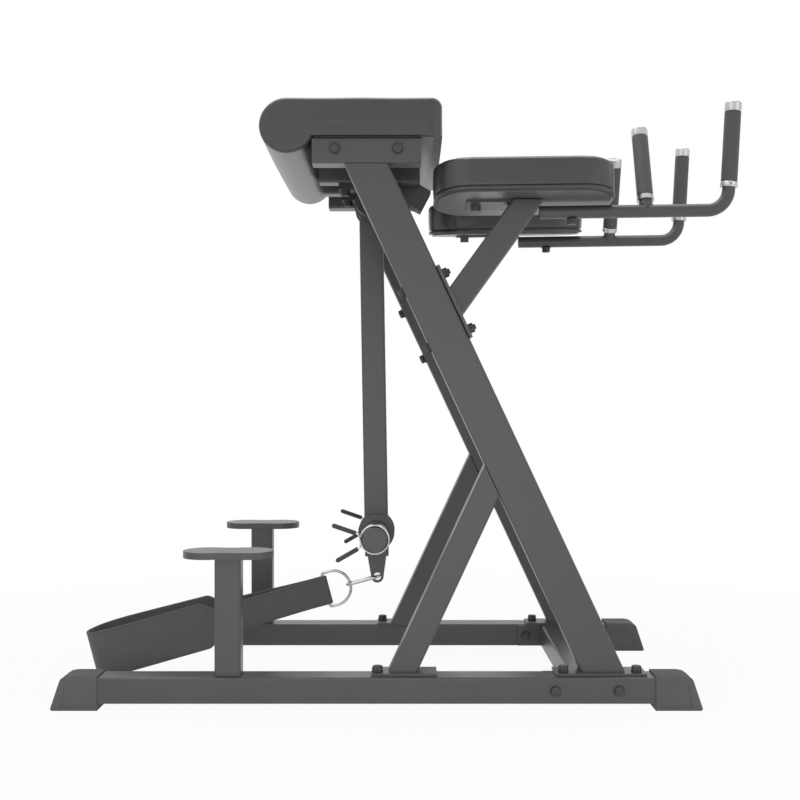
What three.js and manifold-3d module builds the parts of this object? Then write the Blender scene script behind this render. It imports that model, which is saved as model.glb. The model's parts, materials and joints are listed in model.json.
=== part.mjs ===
// Reverse hyperextension machine: a bolted tube frame that carries a torso pad, two forearm pads with
// handles, and a swinging pendulum with weight horns, spring collars and an ankle strap.
// Millimetres, +Z up. +X points to the handles, -Y is the user's right side, the origin is on the floor
// under the middle of the machine.

import * as THREE from 'three';
import { mergeVertices } from 'three/addons/utils/BufferGeometryUtils.js';
import Module from 'manifold-3d';

const wasm = await Module();
wasm.setup();

// Shared clearances
const fit = 0.3; // gap between pieces that touch
const overrun = 5; // how far every cutter passes the face that it opens
const weldLap = 1; // how far a welded piece reaches into the one it is fused with
const degrees = Math.PI / 180;

// Floor rails and their rubber end shoes
const rail = { spacing: 540, width: 60, height: 50, wall: 2.5, corner: 4, rise: 12, rearEnd: -577, frontEnd: 477 };
const shoe = {
  length: 89, skin: 3, slope: 17, slopeRise: 54, topRound: 20, toeRound: 3, socket: 62,
  panelInset: 11, panelDepth: 1.2, bevel: 1.5,
};

// Main posts, leaning back over the pendulum, with their braces
const post = { face: 76, depth: 50, wall: 2.5, corner: 4, lean: 25, midX: 140.2, midZ: 586.4, side: 253 };
const brace = { face: 50, depth: 50, wall: 2.5, corner: 4, midX: 99.6, midZ: 281.5 };
const footPlate = { thickness: 5, width: 60, side: 259, length: 174, offset: -6, boltInset: 17 };
const bracePlate = { length: 125, offset: 2.3, boltInset: 12 };

// Step posts that carry the waisted foot plates
const step = {
  x: -333, face: 50, depth: 40, wall: 2.5, corner: 4, side: 270, plateX: -333, plateSide: 276, plateTop: 300,
  plateThickness: 13, plateLength: 172, plateWidth: 92, waistShare: 0.13, fullShare: 0.48, endPower: 2,
};

// Cross members, bolted through the rails at the bottom and through the pad beams at the top
const cross = {
  lowerX: 348, lowerWidth: 50, upperX: -70, upperZ: 1066, upperWidth: 60, upperHeight: 40, wall: 2.5, corner: 4,
  flangeLength: 157, lowerFlange: 48, upperFlange: 43, flangeThickness: 4, boltSpacing: 120,
};

// Pad beams and the pivot rails under the torso pad
const beam = { rear: -174, front: 35, bottom: 1038, height: 50, depth: 50, wall: 2.5, corner: 4 };
const pivotRail = { side: 64, width: 42, wall: 3, corner: 4 };

// Pendulum
const pivot = { x: -68.4, z: 1000, shaftRadius: 12.5, shaftLength: 184, running: 0.05, tilt: 0.98 };
const block = { baseLength: 130, baseHeight: 13, ringRadius: 30, width: 36, boltSpacing: 104 };
const hub = { barrelRadius: 23, length: 80, discRadius: 35, discThickness: 5 };
const arm = { face: 50, depth: 50, wall: 3, corner: 4, bottom: 744 };
const tongue = { thickness: 6, rootWidth: 41, eyeRadius: 13.4, holeRadius: 8, holeDrop: 790, inside: 14 };
const horn = { drop: 692.4, radius: 25, wall: 3.5, length: 162, flangeRadius: 38.5, flangeThickness: 6, round: 1.5 };

// Spring collar
const collar = {
  wire: 4, play: 1, pitch: 5, turns: 3, stepsPerTurn: 12, armReach: 88, upperAngle: 160, lowerAngle: 209,
  side: 164, gripLength: 51, gripRadius: 4.6, gripPlay: 0.3, bend: 7,
};

// Strap link: carabiner, D ring and ankle strap
const link = { wire: 6.5, bendRadius: 12, length: 71, slope: 15, gateLength: 34, gateWire: 5.6, gateEase: 1.2 };
const dee = { wire: 5.6, halfBar: 37, straight: 16.5, corner: 4 };
const strap = {
  thickness: 4, length: 515, halfWidth: 72, play: 1, narrow: 61, wide: 95, taperStartShare: 0.476, taperEndShare: 0.545,
  loopSegments: 72,
};

// Torso pad: a roll at the rear end that runs into a flat cushion
const torso = {
  front: 73, clearance: 1.5, thickness: 69.5, rollX: -222, rollRadius: 51, frontRound: 18, halfWidth: 288,
  endRound: 7, crown: 3, sideDraw: 1.5, boardInset: 14, boardThickness: 12, sections: 6, planRound: 20, planBlend: 40,
};

// Forearm pads, their tilted assembly and handles
const rest = {
  x: 236, side: 210, underZ: 972, lip: 3.5, roll: 6.3, pitch: 0.8, length: 352, width: 182, thickness: 71, corner: 72,
  boardThickness: 9, boardInset: 8, topRound: 14, crown: 4, sideDraw: 2,
};
const support = {
  face: 50, depth: 50, wall: 2.5, corner: 4, lean: 35, twist: 12.7, plateLength: 152, plateThickness: 6,
  seatZ: 757, bracketThickness: 4, bracketWidth: 58, bracketLength: 138,
};
const bar = { radius: 12.7, z: 955, side: 208, start: 262, bendX: 598, bend: 42, stub: 5, lean: 3.2, boltX: 332 };
const upright = { x: 478.5, lean: 22, stub: 22 };
const grip = {
  length: 138, radius: 16, sleeveRadius: 14.2, capLength: 16, capRadius: 16.4, capTop: 3, collarLength: 10, collarRadius: 17,
  chamfer: 1.5,
};

// Fasteners
const bolt = { radius: 5, headAcross: 19, headHeight: 7.5, lowHead: 4.5, nutHeight: 9, washerRadius: 10.3, washer: 2, tail: 4 };

// Colours and finishes, read from the photograph
const finish = {
  frame: () => new THREE.MeshStandardMaterial({ color: 0x4d4d4e, roughness: 0.55, metalness: 0.3 }),
  vinyl: () => new THREE.MeshStandardMaterial({ color: 0x444445, roughness: 0.6, metalness: 0 }),
  board: () => new THREE.MeshStandardMaterial({ color: 0x303031, roughness: 0.8, metalness: 0 }),
  rubber: () => new THREE.MeshStandardMaterial({ color: 0x3c3c3d, roughness: 0.8, metalness: 0 }),
  webbing: () => new THREE.MeshStandardMaterial({ color: 0x3f3f40, roughness: 0.9, metalness: 0 }),
  steel: () => new THREE.MeshStandardMaterial({ color: 0xc8c9ca, roughness: 0.25, metalness: 0.9 }),
  aluminium: () => new THREE.MeshStandardMaterial({ color: 0xd9d9da, roughness: 0.35, metalness: 0.9 }),
  bearing: () => new THREE.MeshStandardMaterial({ color: 0x2b2b2c, roughness: 0.6, metalness: 0.4 }),
};

// Geometry tools

const axisX = new THREE.Vector3(1, 0, 0);
const axisY = new THREE.Vector3(0, 1, 0);
const axisZ = new THREE.Vector3(0, 0, 1);

// Leaves out the triangles that have two corners in one point.
function withoutSlivers(order) {
  const kept = [];
  for (let i = 0; i < order.length; i += 3) {
    const [a, b, c] = [order[i], order[i + 1], order[i + 2]];
    if (a !== b && b !== c && c !== a) kept.push(a, b, c);
  }
  return kept;
}

function toSolid(geometry) {
  const bare = geometry.clone();
  bare.deleteAttribute('normal');
  bare.deleteAttribute('uv');
  const merged = mergeVertices(bare, 1e-4);
  const vertProperties = new Float32Array(merged.attributes.position.array);
  const triVerts = new Uint32Array(withoutSlivers(merged.index.array));
  return new wasm.Manifold(new wasm.Mesh({ numProp: 3, vertProperties, triVerts }));
}

function toGeometry(solid) {
  const mesh = solid.getMesh();
  const geometry = new THREE.BufferGeometry();
  geometry.setAttribute('position', new THREE.BufferAttribute(new Float32Array(mesh.vertProperties), 3));
  geometry.setIndex(new THREE.BufferAttribute(new Uint32Array(mesh.triVerts), 1));
  return geometry;
}

// Joins every geometry of a list into one closed body.
function join(...geometries) {
  return toGeometry(geometries.map(toSolid).reduce((sum, next) => sum.add(next)));
}

function cut(geometry, ...cutters) {
  return toGeometry(cutters.map(toSolid).reduce((rest, next) => rest.subtract(next), toSolid(geometry)));
}

function boxBetween(low, high) {
  const size = high.map((value, i) => value - low[i]);
  const geometry = new THREE.BoxGeometry(...size);
  geometry.translate(...low.map((value, i) => value + size[i] / 2));
  return geometry;
}

// A rounded rectangle drawn anticlockwise, as a Shape or as a hole's Path.
function roundedRectangle(path, width, height, radius) {
  const x = width / 2 - radius;
  const y = height / 2 - radius;
  path.absarc(x, y, radius, 0, Math.PI / 2);
  path.absarc(-x, y, radius, Math.PI / 2, Math.PI);
  path.absarc(-x, -y, radius, Math.PI, 1.5 * Math.PI);
  path.absarc(x, -y, radius, 1.5 * Math.PI, 2 * Math.PI);
  path.closePath();
  return path;
}

// A rectangular tube along its local Z, with its section centred on that axis.
function boxTube(width, height, wall, corner, length) {
  const section = roundedRectangle(new THREE.Shape(), width, height, corner);
  section.holes.push(roundedRectangle(new THREE.Path(), width - 2 * wall, height - 2 * wall, corner - wall));
  return new THREE.ExtrudeGeometry(section, { depth: length, bevelEnabled: false, curveSegments: 2 });
}

// Places a geometry that was built along local Z at an origin, with its local Z and X along given directions.
function place(geometry, origin, along, across) {
  const z = along.clone().normalize();
  const x = across.clone().addScaledVector(z, -across.dot(z)).normalize();
  const y = z.clone().cross(x);
  const matrix = new THREE.Matrix4().makeBasis(x, y, z).setPosition(origin);
  return geometry.clone().applyMatrix4(matrix);
}

// Extrudes an outline drawn in the XZ plane between two values of Y.
function slabXZ(outline, lowY, highY, options = {}) {
  const settings = { depth: highY - lowY, bevelEnabled: false, curveSegments: 6, ...options };
  const geometry = new THREE.ExtrudeGeometry(outline, settings);
  geometry.applyMatrix4(new THREE.Matrix4().makeBasis(axisX, axisZ, axisY.clone().negate()));
  geometry.translate(0, highY, 0);
  return geometry;
}

function rodBetween(start, end, radius, sides = 16) {
  const along = end.clone().sub(start);
  const geometry = new THREE.CylinderGeometry(radius, radius, along.length(), sides);
  geometry.rotateX(Math.PI / 2);
  geometry.translate(0, 0, along.length() / 2);
  return place(geometry, start, along, Math.abs(along.x) > Math.abs(along.z) ? axisZ : axisX);
}

// A solid of revolution about a line: the profile gives [radius, distance along the line] and closes on itself.
function turned(profile, origin, along, sides = 24) {
  const points = profile.map(([radius, height]) => new THREE.Vector2(radius, height));
  const swept = new THREE.LatheGeometry(points, sides);
  swept.deleteAttribute('normal');
  swept.deleteAttribute('uv');
  const geometry = mergeVertices(swept, 1e-4);
  geometry.setIndex(withoutSlivers(geometry.index.array));
  geometry.rotateX(Math.PI / 2);
  const flip = Math.abs(along.z) > 0.7 ? axisX : axisZ;
  return place(geometry, origin, along, flip);
}

// A big block that lies beyond a plane, used to trim ends at an angle.
function beyond(point, normal, reach) {
  const geometry = new THREE.BoxGeometry(reach, reach, reach);
  geometry.translate(0, 0, reach / 2);
  return place(geometry, point, normal, Math.abs(normal.y) > 0.9 ? axisX : axisY);
}

function mirrored(geometry) {
  const copy = geometry.clone();
  copy.scale(1, -1, 1);
  const order = copy.index ? copy.index.array : null;
  if (order) {
    for (let i = 0; i < order.length; i += 3) [order[i], order[i + 1]] = [order[i + 1], order[i]];
    return copy;
  }
  const turnedRound = mergeVertices(copy, 1e-4);
  return mirrored(turnedRound.scale(1, -1, 1));
}

// The triangles that close a flat ring of points, wound with it or against it.
function capFaces(ring, start, against) {
  const normal = new THREE.Vector3();
  ring.forEach((p, i) => normal.add(p.clone().sub(ring[0]).cross(ring[(i + 1) % ring.length].clone().sub(ring[0]))));
  const side = Math.abs(normal.normalize().x) > 0.7 ? axisY : axisX;
  const u = side.clone().cross(normal).normalize();
  const v = normal.clone().cross(u);
  const flat = ring.map((p) => new THREE.Vector2(p.dot(u), p.dot(v)));
  return THREE.ShapeUtils.triangulateShape(flat, []).flatMap(([a, b, c]) => {
    const turn = flat[b].clone().sub(flat[a]).cross(flat[c].clone().sub(flat[a]));
    const order = (turn > 0) === !against ? [a, b, c] : [a, c, b];
    return order.map((index) => start + index);
  });
}

// A closed surface from rings of points: neighbours are joined by quads and the two ends by flat caps.
function loft(rings, closedLoop = false) {
  const count = rings[0].length;
  const points = rings.flat();
  const faces = [];
  const last = closedLoop ? rings.length : rings.length - 1;
  for (let i = 0; i < last; i += 1) {
    const a = i * count;
    const b = ((i + 1) % rings.length) * count;
    for (let j = 0; j < count; j += 1) {
      const k = (j + 1) % count;
      faces.push(a + j, a + k, b + k, a + j, b + k, b + j);
    }
  }
  if (!closedLoop) {
    faces.push(...capFaces(rings[0], 0, true));
    faces.push(...capFaces(rings.at(-1), (rings.length - 1) * count, false));
  }
  const geometry = new THREE.BufferGeometry().setFromPoints(points);
  geometry.setIndex(faces);
  return outward(geometry);
}

// A round wire along a curve that lies in a plane.
function planarWire(curve, normal, radius, steps, sides, closedLoop) {
  const rings = [];
  for (let i = 0; i < steps + (closedLoop ? 0 : 1); i += 1) {
    const share = i / steps;
    const centre = curve.getPointAt(share);
    const across = curve.getTangentAt(share).cross(normal).normalize();
    rings.push(Array.from({ length: sides }, (_, k) => {
      const angle = (2 * Math.PI * k) / sides;
      return centre.clone()
        .addScaledVector(normal, radius * Math.cos(angle))
        .addScaledVector(across, radius * Math.sin(angle));
    }));
  }
  return loft(rings, closedLoop);
}

// Turns a closed mesh inside out where its signed volume is negative.
function outward(geometry) {
  const p = geometry.attributes.position;
  const order = geometry.index.array;
  const corner = [new THREE.Vector3(), new THREE.Vector3(), new THREE.Vector3()];
  let volume = 0;
  for (let i = 0; i < order.length; i += 3) {
    corner.forEach((v, n) => v.fromBufferAttribute(p, order[i + n]));
    volume += corner[0].dot(corner[1].clone().cross(corner[2]));
  }
  if (volume < 0) {
    for (let i = 0; i < order.length; i += 3) [order[i], order[i + 1]] = [order[i + 1], order[i]];
  }
  return geometry;
}

// A hexagon bolt through a stack: head and washer below, shank, washer and nut above, along a direction.
function throughBolt(start, direction, stack) {
  const hexagon = (low, high) => {
    const prism = new THREE.CylinderGeometry(bolt.headAcross / 2, bolt.headAcross / 2, high - low, 6);
    return prism.rotateX(Math.PI / 2).translate(0, 0, (low + high) / 2);
  };
  const disc = (radius, low, high) => {
    const round = new THREE.CylinderGeometry(radius, radius, high - low, 10);
    return round.rotateX(Math.PI / 2).translate(0, 0, (low + high) / 2);
  };
  const under = -bolt.washer;
  const over = stack + bolt.washer;
  return place(join(
    hexagon(under - bolt.headHeight, under + weldLap / 2),
    disc(bolt.washerRadius, under, 0),
    disc(bolt.radius, under - weldLap, over + weldLap),
    disc(bolt.washerRadius, stack - weldLap / 2, over),
    hexagon(over - weldLap / 2, over + bolt.nutHeight),
    disc(bolt.radius, over, over + bolt.nutHeight + bolt.tail)), start, direction, axisY);
}

// A bolt head with its washer, seated on the piece that it is fused with.
function boltHead(seat, outwards, height = bolt.headHeight) {
  const washer = new THREE.CylinderGeometry(bolt.washerRadius, bolt.washerRadius, bolt.washer + weldLap, 12);
  washer.rotateX(Math.PI / 2).translate(0, 0, (bolt.washer - weldLap) / 2);
  const head = new THREE.CylinderGeometry(bolt.headAcross / 2, bolt.headAcross / 2, height + weldLap, 6);
  head.rotateX(Math.PI / 2).translate(0, 0, bolt.washer + (height - weldLap) / 2);
  return place(join(washer, head), seat, outwards, Math.abs(outwards.y) > 0.9 ? axisX : axisY);
}

// The scene graph

const machine = new THREE.Group();
const pendulum = new THREE.Group();
machine.add(pendulum);

function addPiece(name, geometry, material, group = machine) {
  const mesh = new THREE.Mesh(geometry, material);
  mesh.name = name;
  group.add(mesh);
  return mesh;
}

// Adds the piece built on the user's right side and its mirror image on the left.
function addPair(name, geometry, makeMaterial, group = machine) {
  addPiece(`${name}_right`, geometry, makeMaterial(), group);
  addPiece(`${name}_left`, mirrored(geometry), makeMaterial(), group);
}

// Floor rails

const railSide = rail.spacing / 2;
const railTop = rail.rise + rail.height;
const railMiddle = rail.rise + rail.height / 2;
const railInner = railSide - rail.width / 2;
const railOuter = railSide + rail.width / 2;

function buildRail() {
  const start = rail.rearEnd - shoe.socket + fit;
  const length = rail.frontEnd + shoe.socket - fit - start;
  const tube = boxTube(rail.height, rail.width, rail.wall, rail.corner, length);
  const placed = place(tube, new THREE.Vector3(start, -railSide, railMiddle), axisX, axisZ);
  return withHeads(placed, cross.lowerX, railMiddle, -railOuter);
}

// One rubber shoe: a sloping toe, a socket for the rail and a sunk panel on both sides.
function buildShoe(innerEnd, facing) {
  const toe = shoe.length;
  const top = railTop + shoe.skin;
  const outline = [[0, 0], [toe - shoe.toeRound, 0], [toe, shoe.toeRound]];
  outline.push([toe - shoe.slope, shoe.slopeRise]);
  const roundX = toe - shoe.slope - shoe.topRound;
  for (const share of [0.3, 0.6, 1]) {
    const angle = (Math.PI / 2) * share;
    outline.push([
      roundX + shoe.topRound * Math.cos(angle),
      shoe.slopeRise + (top - shoe.slopeRise) * Math.sin(angle),
    ]);
  }
  outline.push([0, top]);
  const low = -railOuter - shoe.skin;
  const high = -railInner + shoe.skin;
  const middle = [toe / 2, top / 2];
  const ring = (y, inset) => outline.map(([x, z]) => new THREE.Vector3(
    x - inset * Math.sign(x - middle[0]), y, z - inset * Math.sign(z - middle[1])));
  const body = loft([
    ring(low, shoe.bevel), ring(low + shoe.bevel, 0), ring(high - shoe.bevel, 0), ring(high, shoe.bevel)]);
  const inset = shoe.panelInset;
  const panel = new THREE.Shape();
  panel.moveTo(inset, inset / 2);
  panel.lineTo(toe - inset - shoe.slope / 2, inset / 2);
  panel.lineTo(toe - inset - shoe.slope, shoe.slopeRise - inset / 2);
  panel.lineTo(inset, shoe.slopeRise);
  panel.closePath();
  const panels = [
    slabXZ(panel, low - overrun, low + shoe.panelDepth),
    slabXZ(panel, high - shoe.panelDepth, high + overrun),
  ];
  const section = roundedRectangle(
    new THREE.Shape(), rail.height + 2 * fit, rail.width + 2 * fit, rail.corner + fit);
  const socket = place(
    new THREE.ExtrudeGeometry(section, { depth: shoe.socket + overrun, bevelEnabled: false, curveSegments: 2 }),
    new THREE.Vector3(-overrun, -railSide, railMiddle), axisX, axisZ);
  const built = cut(body, ...panels, socket);
  if (facing < 0) built.rotateZ(Math.PI).translate(0, -rail.spacing, 0);
  return built.translate(innerEnd, 0, 0);
}

addPair('floor_rail', buildRail(), finish.frame);
addPair('rear_shoe', buildShoe(rail.rearEnd, -1), finish.rubber);
addPair('front_shoe', buildShoe(rail.frontEnd, 1), finish.rubber);

// Main posts and braces

const leanRadians = post.lean * degrees;
const postAxis = new THREE.Vector3(-Math.sin(leanRadians), 0, Math.cos(leanRadians));
const postFront = new THREE.Vector3(Math.cos(leanRadians), 0, Math.sin(leanRadians));
const postPoint = (z) => {
  const x = post.midX - Math.tan(leanRadians) * (z - post.midZ);
  return new THREE.Vector3(x, -post.side, z);
};
const braceAxis = new THREE.Vector3(Math.sin(leanRadians), 0, Math.cos(leanRadians));
const bracePoint = (z) => {
  const x = brace.midX + Math.tan(leanRadians) * (z - brace.midZ);
  return new THREE.Vector3(x, -post.side, z);
};
const plateTop = railTop + fit + footPlate.thickness;
const supportSeat = postPoint(support.seatZ).addScaledVector(postFront, post.face / 2 + fit);
const supportBoltAt = [-1, 1].map((side) => side * cross.boltSpacing / 2 * 0.98);
const reach = 4 * beam.bottom;

// A steel foot plate on the rail, with its bolts' heads and the carriage bolts that show under the rail.
function floorPlate(centreX, length, boltXs) {
  const low = [centreX - length / 2, -footPlate.side - footPlate.width / 2, railTop + fit];
  const high = [centreX + length / 2, -footPlate.side + footPlate.width / 2, plateTop];
  const heads = boltXs.map((x) => boltHead(new THREE.Vector3(x, -railSide, plateTop), axisZ, bolt.nutHeight));
  return [boxBetween(low, high), ...heads];
}

function buildPost() {
  const start = postPoint(plateTop).addScaledVector(postAxis, -post.face);
  const length = (beam.bottom - plateTop) / Math.cos(leanRadians) + 2 * post.face;
  const tube = place(boxTube(post.face, post.depth, post.wall, post.corner, length), start, postAxis, postFront);
  const floor = new THREE.Vector3(0, 0, plateTop - weldLap);
  const ceiling = new THREE.Vector3(0, 0, beam.bottom - fit);
  const trimmed = cut(tube, beyond(floor, axisZ.clone().negate(), reach), beyond(ceiling, axisZ, reach));
  const footX = postPoint(plateTop).x + footPlate.offset;
  const ends = [-1, 1].map((side) => footX + side * (footPlate.length / 2 - footPlate.boltInset));
  const body = join(trimmed, ...floorPlate(footX, footPlate.length, ends));
  const holes = supportBoltAt.map((along) => {
    const centre = supportSeat.clone().addScaledVector(postAxis, along);
    return rodBetween(
      centre.clone().addScaledVector(postFront, -post.face - overrun),
      centre.clone().addScaledVector(postFront, overrun), bolt.radius + fit, 12);
  });
  return cut(body, ...holes);
}

function buildBrace() {
  const start = bracePoint(plateTop).addScaledVector(braceAxis, -brace.face);
  const across = new THREE.Vector3(Math.cos(leanRadians), 0, -Math.sin(leanRadians));
  const tube = place(boxTube(brace.face, brace.depth, brace.wall, brace.corner, post.midZ), start, braceAxis, across);
  const floor = new THREE.Vector3(0, 0, plateTop - weldLap);
  const againstPost = postPoint(post.midZ).addScaledVector(postFront, -post.face / 2 - fit);
  const trimmed = cut(
    tube, beyond(floor, axisZ.clone().negate(), reach), beyond(againstPost, postFront, reach));
  const footX = bracePoint(plateTop).x + bracePlate.offset;
  const rearBolt = footX - bracePlate.length / 2 + bracePlate.boltInset;
  return join(trimmed, ...floorPlate(footX, bracePlate.length, [rearBolt]));
}

addPair('main_post', buildPost(), finish.frame);
addPair('brace', buildBrace(), finish.frame);

// Step posts with their waisted foot plates

function buildStepPost() {
  const top = step.plateTop - step.plateThickness - fit;
  const tube = boxTube(step.face, step.depth, step.wall, step.corner, top - railTop - fit);
  return place(tube, new THREE.Vector3(step.x, -step.side, railTop + fit), axisZ, axisX);
}

// The plate's half width rises from its waist by a squared sine, and each end closes as a soft superellipse.
function plateHalfWidth(x) {
  const share = Math.min(Math.abs(x) / (step.plateLength / 2), 1);
  const full = step.plateWidth / 2;
  if (share < step.fullShare) {
    const rise = Math.sin((Math.PI / 2) * (share / step.fullShare)) ** 2;
    return full * (1 - step.waistShare * (1 - rise));
  }
  const run = (share - step.fullShare) / (1 - step.fullShare);
  return full * (1 - run ** step.endPower) ** (1 / step.endPower);
}

function buildStepPlate() {
  const half = step.plateLength / 2;
  const outline = new THREE.Shape();
  const count = 48;
  for (let i = 0; i < count; i += 1) {
    const angle = (2 * Math.PI * i) / count;
    const x = half * Math.cos(angle);
    const y = i % (count / 2) === 0 ? 0 : Math.sign(Math.sin(angle)) * plateHalfWidth(x);
    if (i === 0) outline.moveTo(x, y);
    else outline.lineTo(x, y);
  }
  outline.closePath();
  const plate = new THREE.ExtrudeGeometry(outline, { depth: step.plateThickness, bevelEnabled: false });
  return plate.translate(step.plateX, -step.plateSide, step.plateTop - step.plateThickness);
}

addPair('step_post', buildStepPost(), finish.frame);
addPair('step_plate', buildStepPlate(), finish.frame);

// Cross members: a tube with a bolted flange at both ends

function crossMember(x, z, width, height, flangeHeight, flangeFace) {
  const inner = flangeFace - cross.flangeThickness;
  const tube = place(
    boxTube(width, height, cross.wall, cross.corner, 2 * (inner + weldLap)),
    new THREE.Vector3(x, -inner - weldLap, z), axisY, axisX);
  const pieces = [tube];
  for (const side of [-1, 1]) {
    const faces = [side * inner, side * flangeFace].sort((a, b) => a - b);
    const half = [cross.flangeLength / 2, flangeHeight / 2];
    pieces.push(boxBetween([x - half[0], faces[0], z - half[1]], [x + half[0], faces[1], z + half[1]]));
    for (const end of [-1, 1]) {
      const seat = new THREE.Vector3(x + end * cross.boltSpacing / 2, side * inner, z);
      pieces.push(boltHead(seat, new THREE.Vector3(0, -side, 0), bolt.nutHeight));
    }
  }
  const bore = boxBetween(
    [x - width / 2 + cross.corner, -flangeFace - overrun, z - height / 2 + cross.corner],
    [x + width / 2 - cross.corner, flangeFace + overrun, z + height / 2 - cross.corner]);
  return cut(join(...pieces), bore);
}

function withHeads(geometry, x, z, faceY) {
  const seats = [-1, 1].map((end) => new THREE.Vector3(x + end * cross.boltSpacing / 2, faceY, z));
  return join(geometry, ...seats.map((seat) => boltHead(seat, axisY.clone().negate(), bolt.lowHead)));
}

const beamSide = post.side;
const beamInner = beamSide - beam.depth / 2;
const beamTop = beam.bottom + beam.height;

addPiece('lower_crossbeam',
  crossMember(cross.lowerX, railMiddle, cross.lowerWidth, rail.height, cross.lowerFlange, railInner - fit),
  finish.frame());
addPiece('upper_crossbeam',
  crossMember(
    cross.upperX, cross.upperZ, cross.upperWidth, cross.upperHeight, cross.upperFlange, beamInner - fit),
  finish.frame());

// Pad beams, closed by plastic plugs, and the pivot rails that the crossbeam passes through

function buildBeam() {
  const length = beam.front - beam.rear;
  const tube = place(
    boxTube(beam.height, beam.depth, beam.wall, beam.corner, length),
    new THREE.Vector3(beam.rear, -beamSide, beam.bottom + beam.height / 2), axisX, axisZ);
  return withHeads(tube, cross.upperX, cross.upperZ, -beamSide - beam.depth / 2);
}

function buildPivotRail() {
  const length = beam.front - beam.rear;
  const tube = place(
    boxTube(beam.height, pivotRail.width, pivotRail.wall, pivotRail.corner, length),
    new THREE.Vector3(beam.rear, -pivotRail.side, beam.bottom + beam.height / 2), axisX, axisZ);
  const window = boxBetween(
    [cross.upperX - cross.upperWidth / 2 - fit, -pivotRail.side - pivotRail.width, cross.upperZ - cross.upperHeight / 2 - fit],
    [cross.upperX + cross.upperWidth / 2 + fit, -pivotRail.side + pivotRail.width, cross.upperZ + cross.upperHeight / 2 + fit]);
  return cut(tube, window);
}

addPair('pad_beam', buildBeam(), finish.frame);
addPair('pivot_rail', buildPivotRail(), finish.frame);

// Stop arm: a stub tube that slants forward from the upper cross member, with a rubber buffer under it
const stop = {
  face: 50, wall: 3, corner: 4, slope: 27.7, endX: 48, endZ: 1010.5, length: 200,
  bufferRadius: 11, bufferHeight: 15, bufferBack: 35, bufferChamfer: 2,
};
const stopAxis = new THREE.Vector3(Math.cos(stop.slope * degrees), 0, -Math.sin(stop.slope * degrees));
const stopDown = new THREE.Vector3(-Math.sin(stop.slope * degrees), 0, -Math.cos(stop.slope * degrees));
const stopEnd = new THREE.Vector3(stop.endX, 0, stop.endZ);

function buildStopArm() {
  const tube = place(
    boxTube(stop.face, stop.face, stop.wall, stop.corner, stop.length),
    stopEnd.clone().addScaledVector(stopAxis, -stop.length), stopAxis, stopDown);
  const face = new THREE.Vector3(cross.upperX + cross.upperWidth / 2 + fit, 0, cross.upperZ);
  return cut(tube, beyond(face, axisX.clone().negate(), reach));
}

function buildStopBuffer() {
  const seat = stopEnd.clone()
    .addScaledVector(stopAxis, -stop.bufferBack)
    .addScaledVector(stopDown, stop.face / 2 + fit);
  const c = stop.bufferChamfer;
  return turned([
    [0, 0], [stop.bufferRadius, 0], [stop.bufferRadius, stop.bufferHeight - c],
    [stop.bufferRadius - c, stop.bufferHeight], [0, stop.bufferHeight], [0, 0],
  ], seat, stopDown, 24);
}

addPiece('stop_arm', buildStopArm(), finish.frame());
addPiece('stop_buffer', buildStopBuffer(), finish.rubber());

// Bearing blocks hung under the pivot rails, and the shaft through them

function buildBlock() {
  const top = beam.bottom - fit - pivot.z;
  const shoulder = top - block.baseHeight;
  const half = block.baseLength / 2;
  const outline = new THREE.Shape();
  outline.moveTo(-half, shoulder);
  outline.lineTo(-block.ringRadius * Math.cos(Math.PI / 7), shoulder);
  outline.absarc(0, 0, block.ringRadius, Math.PI - Math.PI / 9, 2 * Math.PI + Math.PI / 9);
  outline.lineTo(block.ringRadius * Math.cos(Math.PI / 7), shoulder);
  outline.lineTo(half, shoulder);
  outline.lineTo(half, top);
  outline.lineTo(-half, top);
  outline.closePath();
  const bore = new THREE.Path();
  bore.absarc(0, 0, pivot.shaftRadius + fit, 0, 2 * Math.PI);
  outline.holes.push(bore);
  const low = -pivotRail.side - block.width / 2;
  const housing = slabXZ(outline, low, low + block.width, { curveSegments: 10 });
  const nuts = [-1, 1].map((end) => boltHead(
    new THREE.Vector3(end * block.boltSpacing / 2, -pivotRail.side, shoulder), axisZ.clone().negate(), bolt.nutHeight));
  return join(housing, ...nuts).translate(pivot.x, 0, pivot.z);
}

addPair('bearing_block', buildBlock(), finish.bearing);
const shaftEnd = new THREE.Vector3(pivot.x, -pivot.shaftLength / 2, pivot.z);
addPiece('pivot_shaft',
  rodBetween(shaftEnd, shaftEnd.clone().setY(pivot.shaftLength / 2), pivot.shaftRadius - fit, 24), finish.steel());

// Pendulum, built hanging straight down from its pivot and turned to its rest tilt

pendulum.position.set(pivot.x, 0, pivot.z);
pendulum.rotation.y = -pivot.tilt * degrees;

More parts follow.
